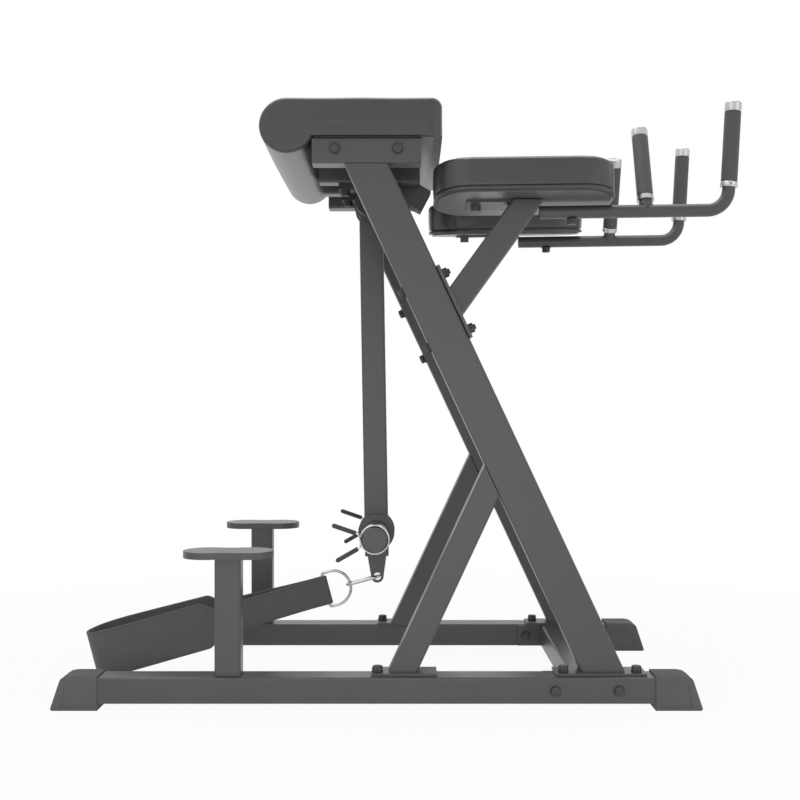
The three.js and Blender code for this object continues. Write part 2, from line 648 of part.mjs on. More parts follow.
function buildArm() {
  const tube = place(
    boxTube(arm.face, arm.depth, arm.wall, arm.corner, arm.bottom),
    new THREE.Vector3(0, 0, -arm.bottom), axisZ, axisX);
  const half = hub.length / 2;
  const barrel = rodBetween(new THREE.Vector3(0, -half, 0), new THREE.Vector3(0, half, 0), hub.barrelRadius, 32);
  const discs = [-1, 1].map((side) => rodBetween(
    new THREE.Vector3(0, side * half, 0), new THREE.Vector3(0, side * (half - hub.discThickness), 0),
    hub.discRadius, 36));
  const tongueSlot = boxBetween(
    [-tongue.rootWidth / 2 - fit, -tongue.thickness / 2 - fit, -arm.bottom - overrun],
    [tongue.rootWidth / 2 + fit, tongue.thickness / 2 + fit, -arm.bottom + tongue.inside + fit]);
  const cap = boxBetween(
    [-arm.face / 2 + arm.wall / 2, -arm.depth / 2 + arm.wall / 2, -arm.bottom],
    [arm.face / 2 - arm.wall / 2, arm.depth / 2 - arm.wall / 2, -arm.bottom + tongue.inside]);
  const bore = rodBetween(
    new THREE.Vector3(0, -half - overrun, 0), new THREE.Vector3(0, half + overrun, 0),
    pivot.shaftRadius + pivot.running, 24);
  return cut(join(tube, barrel, ...discs, cap), bore, tongueSlot);
}

function buildTongue() {
  const half = tongue.rootWidth / 2;
  const outline = new THREE.Shape();
  outline.moveTo(-half, -arm.bottom + tongue.inside);
  outline.lineTo(-half, -arm.bottom);
  outline.lineTo(-tongue.eyeRadius, -tongue.holeDrop);
  outline.absarc(0, -tongue.holeDrop, tongue.eyeRadius, Math.PI, 2 * Math.PI);
  outline.lineTo(half, -arm.bottom);
  outline.lineTo(half, -arm.bottom + tongue.inside);
  outline.closePath();
  const hole = new THREE.Path();
  hole.absarc(0, -tongue.holeDrop, tongue.holeRadius, 0, 2 * Math.PI);
  outline.holes.push(hole);
  return slabXZ(outline, -tongue.thickness / 2, tongue.thickness / 2, { curveSegments: 9 });
}

// A weight horn: flange against the arm and a sleeve with a closed, slightly rounded end.
function buildHorn() {
  const root = arm.depth / 2 + fit;
  const inner = horn.radius - horn.wall;
  const profile = [
    [inner, 0], [horn.flangeRadius, 0], [horn.flangeRadius, horn.flangeThickness],
    [horn.radius, horn.flangeThickness], [horn.radius, horn.length - horn.round],
    [horn.radius - horn.round, horn.length], [0, horn.length], [0, horn.length - horn.wall],
    [inner, horn.length - horn.wall], [inner, 0],
  ];
  return turned(profile, new THREE.Vector3(0, -root, -horn.drop), axisY.clone().negate(), 28);
}

addPiece('pendulum_arm', buildArm(), finish.frame(), pendulum);
addPiece('strap_tongue', buildTongue(), finish.frame(), pendulum);
addPair('weight_horn', buildHorn(), finish.frame, pendulum);

// Spring collars: one wire that runs from a grip into a coil round the horn and out to the other grip

const coilRadius = horn.radius + collar.play + collar.wire / 2;
const onCircle = (angle, radius, y) => new THREE.Vector3(
  radius * Math.cos(angle * degrees), y, radius * Math.sin(angle * degrees));

function collarPath() {
  const sweep = collar.lowerAngle - collar.upperAngle + 360 * collar.turns;
  const steps = Math.round((collar.turns + (collar.lowerAngle - collar.upperAngle) / 360) * collar.stepsPerTurn);
  const rise = (collar.pitch * sweep) / 360;
  const points = [];
  const first = -rise / 2;
  const straightEnd = coilRadius + 1.5 * collar.bend;
  const armRadii = [collar.armReach, (collar.armReach + coilRadius) / 2, straightEnd, coilRadius + collar.bend];
  for (const radius of armRadii) points.push(onCircle(collar.upperAngle, radius, first));
  for (let i = 1; i < steps; i += 1) {
    const angle = collar.upperAngle + (sweep * i) / steps;
    points.push(onCircle(angle, coilRadius, first + (rise * i) / steps));
  }
  for (const radius of [...armRadii].reverse()) points.push(onCircle(collar.lowerAngle, radius, first + rise));
  return new THREE.CatmullRomCurve3(points, false, 'centripetal');
}

// The least distance between two stretches of a wire that lie apart along it, less the wire's thickness.
function leastGap(curve, wire, samples) {
  const points = curve.getSpacedPoints(samples);
  const apart = Math.ceil((Math.PI * wire) / (curve.getLength() / samples));
  let least = Infinity;
  for (let i = 0; i < points.length; i += 1) {
    for (let j = i + apart; j < points.length; j += 1) least = Math.min(least, points[i].distanceTo(points[j]));
  }
  return least - wire;
}

function circleSection(radius, sides) {
  const shape = new THREE.Shape();
  for (let i = 0; i < sides; i += 1) {
    const angle = (2 * Math.PI * i) / sides;
    const point = [radius * Math.cos(angle), radius * Math.sin(angle)];
    if (i === 0) shape.moveTo(...point);
    else shape.lineTo(...point);
  }
  shape.closePath();
  return shape;
}

function wireAlong(curve, wire, steps, sides) {
  return new THREE.ExtrudeGeometry(circleSection(wire / 2, sides), { steps, extrudePath: curve });
}

function buildCollarGrip(angle, y) {
  const start = onCircle(angle, collar.armReach + collar.gripRadius / 2 - collar.gripLength, y);
  const along = onCircle(angle, 1, 0);
  const bore = collar.wire / 2 + collar.gripPlay;
  const wall = collar.gripRadius;
  const end = collar.gripLength;
  const profile = [
    [bore, 0], [wall, 0], [wall, end - wall], [wall * Math.cos(Math.PI / 4), end - wall + wall * Math.sin(Math.PI / 4)],
    [0, end], [0, end - wall / 2 + fit], [bore, end - wall / 2 + fit], [bore, 0],
  ];
  return turned(profile, start, along, 14);
}

const collarCurve = collarPath();
const collarGap = leastGap(collarCurve, collar.wire, 600);
console.log(`spring collar: least gap of the wire to itself ${collarGap.toFixed(2)} mm`);
const collarSweep = collar.lowerAngle - collar.upperAngle + 360 * collar.turns;
const collarRise = (collar.pitch * collarSweep) / 360;
for (const side of [-1, 1]) {
  const name = side < 0 ? 'right' : 'left';
  const group = new THREE.Group();
  group.position.set(0, side * collar.side, -horn.drop);
  pendulum.add(group);
  const coil = wireAlong(collarCurve, collar.wire, 72, 6);
  addPiece(`spring_collar_${name}`, coil, finish.steel(), group);
  addPiece(`upper_collar_grip_${name}`, buildCollarGrip(collar.upperAngle, -collarRise / 2), finish.rubber(), group);
  addPiece(`lower_collar_grip_${name}`, buildCollarGrip(collar.lowerAngle, collarRise / 2), finish.rubber(), group);
}

// Strap link: everything below the tongue lies on a line that slopes down to the rear

const tiltRadians = pivot.tilt * degrees;
const tongueHole = new THREE.Vector3(
  pivot.x + tongue.holeDrop * Math.sin(tiltRadians), 0, pivot.z - tongue.holeDrop * Math.cos(tiltRadians));
const linkSlope = link.slope * degrees;
const linkGroup = new THREE.Group();
const linkDirection = new THREE.Vector3(-Math.cos(linkSlope), 0, -Math.sin(linkSlope));
const linkSeat = link.wire / 2 + fit - tongue.holeRadius;
linkGroup.position.copy(tongueHole.clone().addScaledVector(linkDirection, linkSeat));
linkGroup.rotation.y = Math.PI - linkSlope;
machine.add(linkGroup);
// In the link group, +X runs down the strap, +Y is across it and +Z is perpendicular to both.

function buildCarabiner() {
  const r = link.bendRadius;
  const straight = link.length - 2 * r;
  const gateStart = r + (straight - link.gateLength) / 2;
  const corner = (cx, from, to) => {
    const points = [];
    for (let i = 0; i <= 6; i += 1) {
      const angle = from + ((to - from) * i) / 6;
      points.push(new THREE.Vector3(cx + r * Math.cos(angle), r * Math.sin(angle), 0));
    }
    return points;
  };
  const points = [
    new THREE.Vector3(gateStart, r, 0),
    ...corner(r, Math.PI / 2, 1.5 * Math.PI),
    ...corner(link.length - r, -Math.PI / 2, Math.PI / 2),
    new THREE.Vector3(gateStart + link.gateLength, r, 0),
  ];
  const smooth = new THREE.CatmullRomCurve3(points, false, 'catmullrom', 0.2);
  return planarWire(smooth, axisZ, link.wire / 2, 36, 8, false);
}

function buildGate() {
  const gateStart = link.bendRadius + (link.length - 2 * link.bendRadius - link.gateLength) / 2;
  return rodBetween(
    new THREE.Vector3(gateStart + fit, link.bendRadius, 0),
    new THREE.Vector3(gateStart + link.gateLength - link.gateEase, link.bendRadius, 0), link.gateWire / 2, 12);
}

const deeTip = link.length - link.wire / 2 - dee.wire / 2 - fit;
const deeBar = deeTip + dee.halfBar + dee.straight;

// D ring in the plane of the slope: a half circle, two short straights and the bar that the strap goes round.
function buildDee() {
  const points = [];
  const centre = deeTip + dee.halfBar;
  const half = dee.halfBar;
  for (let i = 0; i <= 14; i += 1) {
    const angle = Math.PI / 2 + (Math.PI * i) / 14;
    points.push(new THREE.Vector3(centre + half * Math.cos(angle), 0, half * Math.sin(angle)));
  }
  const cornerIn = dee.corner;
  points.push(new THREE.Vector3(deeBar - cornerIn, 0, -half));
  points.push(new THREE.Vector3(deeBar, 0, -half + cornerIn));
  points.push(new THREE.Vector3(deeBar, 0, half - cornerIn));
  points.push(new THREE.Vector3(deeBar - cornerIn, 0, half));
  const loop = new THREE.CatmullRomCurve3(points, true, 'catmullrom', 0.25);
  return planarWire(loop, axisY, dee.wire / 2, 44, 8, true);
}

// The strap is one closed band. Its middle line leaves the bar, opens out and closes round the ankles;
// each station is a share of the band's length and of its half width.
const strapStationShares = [
  [0.06, 0.1], [0.12, 0.155], [0.2, 0.285], [0.28, 0.43], [0.36, 0.57], [0.45, 0.68], [0.54, 0.765], [0.66, 0.86],
  [0.76, 0.94], [0.84, 0.985], [0.9, 0.95], [0.95, 0.78], [0.985, 0.45],
];

function strapLoop() {
  const wrap = dee.wire / 2 + strap.play + strap.thickness / 2;
  const tip = strap.length;
  const side = strapStationShares.map(([along, out]) => [deeBar + along * tip, out * strap.halfWidth]);
  const points = [new THREE.Vector3(deeBar - wrap, 0, 0)];
  points.push(new THREE.Vector3(deeBar, wrap, 0));
  for (const [u, y] of side) points.push(new THREE.Vector3(u, y, 0));
  points.push(new THREE.Vector3(deeBar + tip, 0, 0));
  const back = points.slice(1, -1).reverse().map((p) => new THREE.Vector3(p.x, -p.y, 0));
  return new THREE.CatmullRomCurve3([...points, ...back], true, 'centripetal');
}

function buildStrap() {
  const loop = strapLoop();
  const start = deeBar + strap.taperStartShare * strap.length;
  const end = deeBar + strap.taperEndShare * strap.length;
  const rings = [];
  for (let i = 0; i < strap.loopSegments; i += 1) {
    const share = i / strap.loopSegments;
    const centre = loop.getPoint(share);
    const tangent = loop.getTangent(share);
    const normal = new THREE.Vector3(tangent.y, -tangent.x, 0).multiplyScalar(strap.thickness / 2);
    const ease = THREE.MathUtils.smoothstep(centre.x, start, end);
    const half = THREE.MathUtils.lerp(strap.narrow, strap.wide, ease) / 2;
    rings.push([[1, 1], [-1, 1], [-1, -1], [1, -1]].map(([out, up]) => new THREE.Vector3(
      centre.x + out * normal.x, centre.y + out * normal.y, up * half)));
  }
  return loft(rings, true);
}

addPiece('carabiner', buildCarabiner(), finish.steel(), linkGroup);
addPiece('carabiner_gate', buildGate(), finish.steel(), linkGroup);
addPiece('d_ring', buildDee(), finish.steel(), linkGroup);
addPiece('ankle_strap', buildStrap(), finish.webbing(), linkGroup);

// Torso pad
const torsoBottom = beamTop + torso.clearance;
const torsoTop = torsoBottom + torso.thickness;

// The side profile, clockwise from the front bottom edge, with the outward direction at each point.
function torsoProfile() {
  const profile = [];
  const add = (x, z, nx, nz) => profile.push({ x, z, nx, nz });
  const frontArc = 5;
  add(torso.front, torsoBottom, 1, 0);
  add(torso.front, (torsoBottom + torsoTop - torso.frontRound) / 2, 1, 0);
  for (let i = 0; i <= frontArc; i += 1) {
    const angle = (Math.PI / 2) * (i / frontArc);
    const nx = Math.cos(angle);
    const nz = Math.sin(angle);
    add(torso.front - torso.frontRound * (1 - nx), torsoTop - torso.frontRound * (1 - nz), nx, nz);
  }
  const topSteps = 7;
  for (let i = 1; i < topSteps; i += 1) {
    const share = i / topSteps;
    const x = THREE.MathUtils.lerp(torso.front - torso.frontRound, torso.rollX, share);
    add(x, torsoTop, 0, 1);
  }
  const rollZ = torsoTop - torso.rollRadius;
  const meet = Math.asin((torsoBottom - rollZ) / torso.rollRadius);
  const rollSteps = 22;
  for (let i = 0; i <= rollSteps; i += 1) {
    const angle = Math.PI / 2 + ((1.5 * Math.PI + Math.PI / 2 + meet - Math.PI / 2) * i) / rollSteps;
    add(torso.rollX + torso.rollRadius * Math.cos(angle), rollZ + torso.rollRadius * Math.sin(angle),
      Math.cos(angle), Math.sin(angle));
  }
  const rollFoot = torso.rollX + torso.rollRadius * Math.cos(meet);
  const underSteps = 5;
  for (let i = 1; i < underSteps; i += 1) {
    add(THREE.MathUtils.lerp(rollFoot, torso.front, i / underSteps), torsoBottom, 0, -1);
  }
  return profile;
}

function buildTorsoPad() {
  const profile = torsoProfile();
  const span = torso.front - torso.rollX;
  const rings = [];
  const edge = [];
  const edgeSteps = 4;
  for (let i = 0; i <= edgeSteps; i += 1) {
    const angle = (Math.PI / 2) * (i / edgeSteps);
    edge.push({
      y: torso.halfWidth - torso.endRound * (1 - Math.cos(angle)),
      inset: torso.endRound * (1 - Math.sin(angle)),
    });
  }
  const inner = [];
  const planSteps = 3;
  const planStart = torso.halfWidth - torso.planRound;
  for (let i = 1; i <= planSteps; i += 1) {
    const share = i / planSteps;
    inner.push({ y: THREE.MathUtils.lerp(torso.halfWidth - torso.endRound, planStart, share), inset: 0 });
  }
  for (let i = 1; i < torso.sections; i += 1) {
    inner.push({ y: planStart * (1 - (2 * i) / torso.sections), inset: 0 });
  }
  for (let i = planSteps; i >= 1; i -= 1) inner.push({ y: -inner[i - 1].y, inset: 0 });
  const stations = [...edge, ...inner, ...edge.map(({ y, inset }) => ({ y: -y, inset })).reverse()];
  for (const { y, inset: roundInset } of stations) {
    const share = y / torso.halfWidth;
    const inset = roundInset + torso.sideDraw * share ** 2;
    const swell = torso.crown * (1 - share ** 4);
    const past = Math.max(Math.abs(y) - planStart, 0);
    const drawn = torso.planRound - Math.sqrt(torso.planRound ** 2 - past ** 2);
    rings.push(profile.map((p) => {
      const nearFront = Math.max(p.x - torso.front + torso.planBlend, 0) / torso.planBlend;
      const across = Math.sin(Math.PI * THREE.MathUtils.clamp((torso.front - p.x) / span, 0, 1));
      const crown = p.nz > 0 ? swell * across * p.nz - swell * p.nz / 2 : 0;
      const flatUnder = p.nz < 0 && p.x > torso.rollX + torso.rollRadius / 2 && p.z > torsoBottom - fit;
      return new THREE.Vector3(p.x - inset * p.nx - drawn * nearFront, y, p.z - (flatUnder ? 0 : inset * p.nz) + crown);
    }));
  }
  const pad = loft(rings);
  const recess = boxBetween(
    [torso.rollX + torso.rollRadius - fit, -torso.halfWidth + torso.boardInset - fit, torsoBottom - overrun],
    [torso.front - torso.boardInset + fit, torso.halfWidth - torso.boardInset + fit,
      torsoBottom + torso.boardThickness + fit]);
  return cut(pad, recess);
}

function buildTorsoBoard() {
  return boxBetween(
    [torso.rollX + torso.rollRadius, -torso.halfWidth + torso.boardInset, beamTop + fit],
    [torso.front - torso.boardInset, torso.halfWidth - torso.boardInset, torsoBottom + torso.boardThickness]);
}

addPiece('torso_pad', buildTorsoPad(), finish.vinyl());
addPiece('torso_pad_board', buildTorsoBoard(), finish.board());

// Forearm pads: an assembly with its origin under the pad's middle, rolled inwards and pitched up a little

const restMatrix = new THREE.Matrix4().compose(
  new THREE.Vector3(rest.x, -rest.side, rest.underZ),
  new THREE.Quaternion().setFromEuler(new THREE.Euler(-rest.roll * degrees, -rest.pitch * degrees, 0, 'YXZ')),
  new THREE.Vector3(1, 1, 1));
const restNormal = axisZ.clone().transformDirection(restMatrix);
const restPoint = (x, y, z) => new THREE.Vector3(x, y, z).applyMatrix4(restMatrix);

// The pad's outline: a rectangle with large corners, and its outward direction.
function padOutline() {
  const outline = [];
  const x = rest.length / 2 - rest.corner;
  const y = rest.width / 2 - rest.corner;
  const steps = 5;
  [[x, y], [-x, y], [-x, -y], [x, -y]].forEach(([cx, cy], quarter) => {
    for (let i = 0; i <= steps; i += 1) {
      const angle = (Math.PI / 2) * (quarter + i / steps);
      outline.push({ x: cx, y: cy, nx: Math.cos(angle), ny: Math.sin(angle) });
    }
  });
  return outline;
}

function padRing(outline, radius, z) {
  return outline.map((p) => new THREE.Vector3(p.x + radius * p.nx, p.y + radius * p.ny, z));
}

function boardOutline(grow) {
  const inset = rest.boardInset - grow;
  return roundedRectangle(
    new THREE.Shape(), rest.length - 2 * inset, rest.width - 2 * inset, rest.corner - inset);
}

function buildForearmPad() {
  const outline = padOutline();
  const bottom = rest.lip;
  const shoulder = rest.lip + rest.thickness - rest.topRound;
  const rings = [
    padRing(outline, rest.corner - rest.sideDraw, bottom),
    padRing(outline, rest.corner, (bottom + shoulder) / 2),
    padRing(outline, rest.corner - rest.sideDraw / 3, shoulder),
  ];
  const roundSteps = 4;
  for (let i = 1; i <= roundSteps; i += 1) {
    const angle = (Math.PI / 2) * (i / roundSteps);
    const radius = rest.corner - rest.sideDraw / 3 - rest.topRound * (1 - Math.cos(angle));
    rings.push(padRing(outline, radius, shoulder + (rest.topRound - rest.crown) * Math.sin(angle)));
  }
  const topRadius = rest.corner - rest.sideDraw / 3 - rest.topRound;
  const top = shoulder + rest.topRound - rest.crown;
  for (const share of [0.6, 0.2]) {
    rings.push(padRing(outline, topRadius * share, top + rest.crown * (1 - share ** 2)));
  }
  const pocket = new THREE.ExtrudeGeometry(
    boardOutline(fit), { depth: rest.boardThickness + fit + overrun, bevelEnabled: false, curveSegments: 4 });
  pocket.translate(0, 0, -overrun);
  return cut(loft(rings), pocket).applyMatrix4(restMatrix);
}

function buildForearmBoard() {
  const board = new THREE.ExtrudeGeometry(
    boardOutline(0), { depth: rest.boardThickness - fit, bevelEnabled: false, curveSegments: 4 });
  return board.translate(0, 0, fit).applyMatrix4(restMatrix);
}

addPair('forearm_pad', buildForearmPad(), finish.vinyl);
addPair('forearm_pad_board', buildForearmBoard(), finish.board);

// Supports from the main posts up to the forearm pads

const supportLean = support.lean * degrees;
const supportTurn = new THREE.Quaternion().setFromAxisAngle(postFront, -support.twist * degrees);
const supportAxis = new THREE.Vector3(Math.sin(supportLean), 0, Math.cos(supportLean)).applyQuaternion(supportTurn);
const supportAcross = axisY.clone().cross(supportAxis).normalize();
const supportRoot = supportSeat.clone().addScaledVector(postFront, support.plateThickness);

function buildSupport() {
  const start = supportRoot.clone().addScaledVector(supportAxis, -support.face);
  const tube = place(
    boxTube(support.face, support.depth, support.wall, support.corner, rest.length), start, supportAxis, supportAcross);
  const base = supportRoot.clone().addScaledVector(postFront, -weldLap);
  const roof = restPoint(0, 0, -support.bracketThickness + weldLap);
  const trimmed = cut(
    tube, beyond(base, postFront.clone().negate(), reach), beyond(roof, restNormal, reach));
  const plate = new THREE.BoxGeometry(support.plateLength, footPlate.width, support.plateThickness);
  plate.translate(0, 0, support.plateThickness / 2);
  const seated = place(plate, supportSeat, postFront, postAxis);
  const end = bar.start - rest.x - fit;
  const bracket = boxBetween(
    [end - support.bracketLength, -support.bracketWidth / 2, -support.bracketThickness],
    [end, support.bracketWidth / 2, 0]).applyMatrix4(restMatrix);
  const padBolt = boltHead(
    restPoint(end - support.bracketLength + bolt.headAcross, 0, -support.bracketThickness),
    restNormal.clone().negate(), bolt.nutHeight);
  const bolts = supportBoltAt.map((along) => {
    const start = supportSeat.clone().addScaledVector(postAxis, along);
    start.addScaledVector(postFront, -post.face - 2 * fit);
    return throughBolt(start, postFront, post.face + 2 * fit + support.plateThickness);
  });
  return join(trimmed, seated, bracket, padBolt, ...bolts);
}

addPair('forearm_support', buildSupport(), finish.frame);

// Handle bars: a run under the pad, a bend and a nearly upright end, with a second upright leaning inwards

const barLean = bar.lean * degrees;
const barPitch = rest.pitch * degrees;
const barHeight = (x) => bar.z + (x - bar.start) * Math.tan(barPitch);
const gripSpan = grip.capLength + grip.length + grip.collarLength + 2 * fit;
const bendCentre = new THREE.Vector3(bar.bendX, -bar.side, barHeight(bar.bendX) + bar.bend);
const endUpright = new THREE.Vector3(Math.sin(barLean), 0, Math.cos(barLean));
const barEnd = bendCentre.clone()
  .add(new THREE.Vector3(Math.cos(barLean), 0, -Math.sin(barLean)).multiplyScalar(bar.bend))
  .addScaledVector(endUpright, gripSpan + bar.stub);

function buildHandleBar() {
  const points = [];
  const runSteps = 2;
  for (let i = 0; i <= runSteps; i += 1) {
    const x = THREE.MathUtils.lerp(bar.start - support.face, bar.bendX, i / runSteps);
    points.push(new THREE.Vector3(x, -bar.side, barHeight(x)));
  }
  const sweep = Math.PI / 2 - barLean - barPitch;
  const bendSteps = 8;
  for (let i = 1; i <= bendSteps; i += 1) {
    const angle = -Math.PI / 2 + barPitch + (sweep * i) / bendSteps;
    points.push(new THREE.Vector3(
      bendCentre.x + bar.bend * Math.cos(angle), -bar.side, bendCentre.z + bar.bend * Math.sin(angle)));
  }
  points.push(barEnd);
  const rings = points.map((point, i) => {
    const before = points[Math.max(i - 1, 0)];
    const after = points[Math.min(i + 1, points.length - 1)];
    const along = after.clone().sub(before).normalize();
    const up = along.clone().cross(axisY).negate();
    return Array.from({ length: 16 }, (_, k) => {
      const angle = (2 * Math.PI * k) / 16;
      return point.clone()
        .addScaledVector(axisY, bar.radius * Math.cos(angle))
        .addScaledVector(up, bar.radius * Math.sin(angle));
    });
  });
  const supportFace = supportRoot.clone().addScaledVector(supportAcross, support.face / 2 + fit);
  const seat = new THREE.Vector3(bar.boltX, -bar.side, barHeight(bar.boltX) - bar.radius + weldLap);
  const inner = rodBetween(uprightFoot, uprightTop, bar.radius, 16);
  const solid = join(loft(rings), inner, boltHead(seat, axisZ.clone().negate(), bolt.nutHeight));
  return cut(solid, beyond(supportFace, supportAcross.clone().negate(), reach));
}

// A hand grip with its aluminium sleeve, placed by the bar's end and direction.
function buildGrip(end, along) {
  const top = -grip.capLength + fit;
  const bottom = top - grip.length - 2 * fit;
  const c = grip.chamfer;
  const rubber = [
    [grip.sleeveRadius + fit, bottom + 2 * fit], [grip.radius - c, bottom + 2 * fit], [grip.radius, bottom + 2 * fit + c],
    [grip.radius, top - c], [grip.radius - c, top], [grip.sleeveRadius + fit, top], [grip.sleeveRadius + fit, bottom + 2 * fit],
  ];
  const bore = bar.radius + fit;
  const sleeve = [
    [bore, bottom - grip.collarLength], [grip.collarRadius - c, bottom - grip.collarLength],
    [grip.collarRadius, bottom - grip.collarLength + c], [grip.collarRadius, bottom + fit],
    [grip.sleeveRadius, bottom + fit], [grip.sleeveRadius, top + fit], [grip.capRadius, top + fit],
    [grip.capRadius, grip.capTop - c], [grip.capRadius - c, grip.capTop], [0, grip.capTop], [0, fit],
    [bore, fit], [bore, bottom - grip.collarLength],
  ];
  return [turned(rubber, end, along, 20), turned(sleeve, end, along, 20)];
}

const uprightLean = upright.lean * degrees;
const innerUpright = new THREE.Vector3(0, Math.sin(uprightLean), Math.cos(uprightLean));
const uprightFoot = new THREE.Vector3(upright.x, -bar.side, barHeight(upright.x));
const uprightTop = uprightFoot.clone().addScaledVector(innerUpright, gripSpan + upright.stub);

addPair('handle_bar', buildHandleBar(), finish.frame);
for (const [name, end, along] of [['outer', barEnd, endUpright], ['inner', uprightTop, innerUpright]]) {
  const [rubber, sleeve] = buildGrip(end, along);
  addPair(`${name}_grip`, rubber, finish.rubber);
  addPair(`${name}_grip_sleeve`, sleeve, finish.aluminium);
}

// The origin is on the floor under the middle of the whole length.
const box = new THREE.Box3().setFromObject(machine);
machine.position.x = -(box.min.x + box.max.x) / 2;

export default machine;
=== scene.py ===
"""The looks of the reverse hyperextension machine: finishes for its steel frame, and finer surfaces for
its cushions, webbing, wires, turned parts and fasteners. Lengths in the settings are in metres. Shapes
are worked out in millimetres about the machine's own datum, and skin() puts them in the model's frame."""

import json
import math

import bpy
import numpy as np
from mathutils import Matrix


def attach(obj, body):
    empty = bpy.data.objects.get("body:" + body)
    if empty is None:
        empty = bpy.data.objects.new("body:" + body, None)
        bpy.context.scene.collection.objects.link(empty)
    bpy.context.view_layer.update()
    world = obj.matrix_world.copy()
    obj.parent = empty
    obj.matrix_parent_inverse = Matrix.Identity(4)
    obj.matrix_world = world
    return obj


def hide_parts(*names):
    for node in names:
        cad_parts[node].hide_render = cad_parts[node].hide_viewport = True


bl_info = {
    "name": "Reverse Hyperextension Machine",
    "version": (1, 0, 0),
    "blender": (4, 5, 0),
    "location": "View3D > Sidebar > Machine",
    "description": "Dresses the solid model of a reverse hyperextension machine",
    "category": "Object",
}

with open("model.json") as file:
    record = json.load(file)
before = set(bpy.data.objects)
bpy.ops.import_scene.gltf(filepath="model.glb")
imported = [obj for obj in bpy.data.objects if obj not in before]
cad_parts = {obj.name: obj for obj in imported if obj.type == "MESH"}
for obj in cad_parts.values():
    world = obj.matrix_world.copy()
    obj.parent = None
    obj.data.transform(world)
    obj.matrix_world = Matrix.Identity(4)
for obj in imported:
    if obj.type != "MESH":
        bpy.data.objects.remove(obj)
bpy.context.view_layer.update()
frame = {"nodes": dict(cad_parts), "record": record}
MM = 0.001
DATUM = np.array([5.266, 0.0, 0.0])
SIDES = (("right", -1.0), ("left", 1.0))
X_AXIS, Y_AXIS, Z_AXIS = np.eye(3)
QUARTER = math.pi / 2
WHITE = (1.0, 1.0, 1.0, 1.0)
FINISHES = {}


# Settings that a user would change


class MachineFinishSettings(bpy.types.PropertyGroup):
    """Colours of the machine, as linear values."""

    paint: bpy.props.FloatVectorProperty(
        name="Frame paint", description="Powder coat of the tubes", subtype="COLOR", size=3,
        default=(0.065, 0.065, 0.066))
    vinyl: bpy.props.FloatVectorProperty(
        name="Pad vinyl", description="Upholstery of the pads", subtype="COLOR", size=3,
        default=(0.038, 0.038, 0.039))
    webbing: bpy.props.FloatVectorProperty(
        name="Webbing", description="Ankle strap", subtype="COLOR", size=3, default=(0.112, 0.112, 0.113))
    rubber: bpy.props.FloatVectorProperty(
        name="Rubber", description="Shoes, grips and buffer", subtype="COLOR", size=3,
        default=(0.105, 0.105, 0.106))
    metal: bpy.props.FloatVectorProperty(
        name="Bright metal", description="Plated wire and aluminium", subtype="COLOR", size=3,
        default=(0.5, 0.5, 0.51))


class MachinePadSettings(bpy.types.PropertyGroup):
    """Sizes of the cushions."""

    crown: bpy.props.FloatProperty(
        name="Crown", description="How far a cushion's top swells", default=0.003, unit="LENGTH")
    edge_round: bpy.props.FloatProperty(
        name="Edge round", description="Rounding of the torso pad's ends", default=0.009, unit="LENGTH")
    pressure: bpy.props.FloatProperty(
        name="Pressure", description="Of the padding against its cover", default=4.0, min=0.0)
    swell: bpy.props.FloatProperty(
        name="Swell", description="How far the padding pushes the cover out", default=0.002, unit="LENGTH")
    side_draw: bpy.props.FloatProperty(
        name="Side draw", description="How far the cover pulls its sides in", default=0.0015, unit="LENGTH")


class MachineStrapSettings(bpy.types.PropertyGroup):
    """Sizes of the ankle strap."""

    length: bpy.props.FloatProperty(
        name="Length", description="From the ring's bar to the rear end", default=0.515, unit="LENGTH")
    thickness: bpy.props.FloatProperty(
        name="Thickness", description="Of the webbing", default=0.004, unit="LENGTH")
    narrow: bpy.props.FloatProperty(
        name="Narrow width", description="At the ring", default=0.061, unit="LENGTH")
    wide: bpy.props.FloatProperty(
        name="Wide width", description="Round the ankles", default=0.098, unit="LENGTH")


class MachineStageSettings(bpy.types.PropertyGroup):
    """Camera and light."""

    lens: bpy.props.FloatProperty(
        name="Lens", description="Focal length in millimetres", default=52.47, subtype="DISTANCE_CAMERA")
    distance: bpy.props.FloatProperty(
        name="Distance", description="Camera to the middle plane", default=2.5, unit="LENGTH")
    height: bpy.props.FloatProperty(
        name="Height", description="Camera above the floor", default=0.574, unit="LENGTH")
    sky: bpy.props.FloatProperty(
        name="Sky", description="Strength of the even light", default=0.4, min=0.0, soft_max=2.0)
    lamps: bpy.props.FloatProperty(
        name="Lamps", description="Share of the lamps' full power", default=1.0, min=0.0, soft_max=3.0)


# Node maths


class Wire:
    """A shader socket that takes part in Python sums: each operator adds one Math node."""

    def __init__(self, nodes, socket):
        self.nodes = nodes
        self.socket = socket

    def maths(self, operation, *values):
        return self.nodes.add("ShaderNodeMath", {"operation": operation}, dict(enumerate(values)))

    def __add__(self, other):
        return self.maths("ADD", self, other)

    def __sub__(self, other):
        return self.maths("SUBTRACT", self, other)

    def __rsub__(self, other):
        return self.maths("SUBTRACT", other, self)

    def __mul__(self, other):
        return self.maths("MULTIPLY", self, other)

    __radd__ = __add__
    __rmul__ = __mul__

    def sine(self):
        return self.maths("SINE", self)

    def beside(self, output):
        """Another output of the same node."""
        return Wire(self.nodes, self.socket.node.outputs[output])


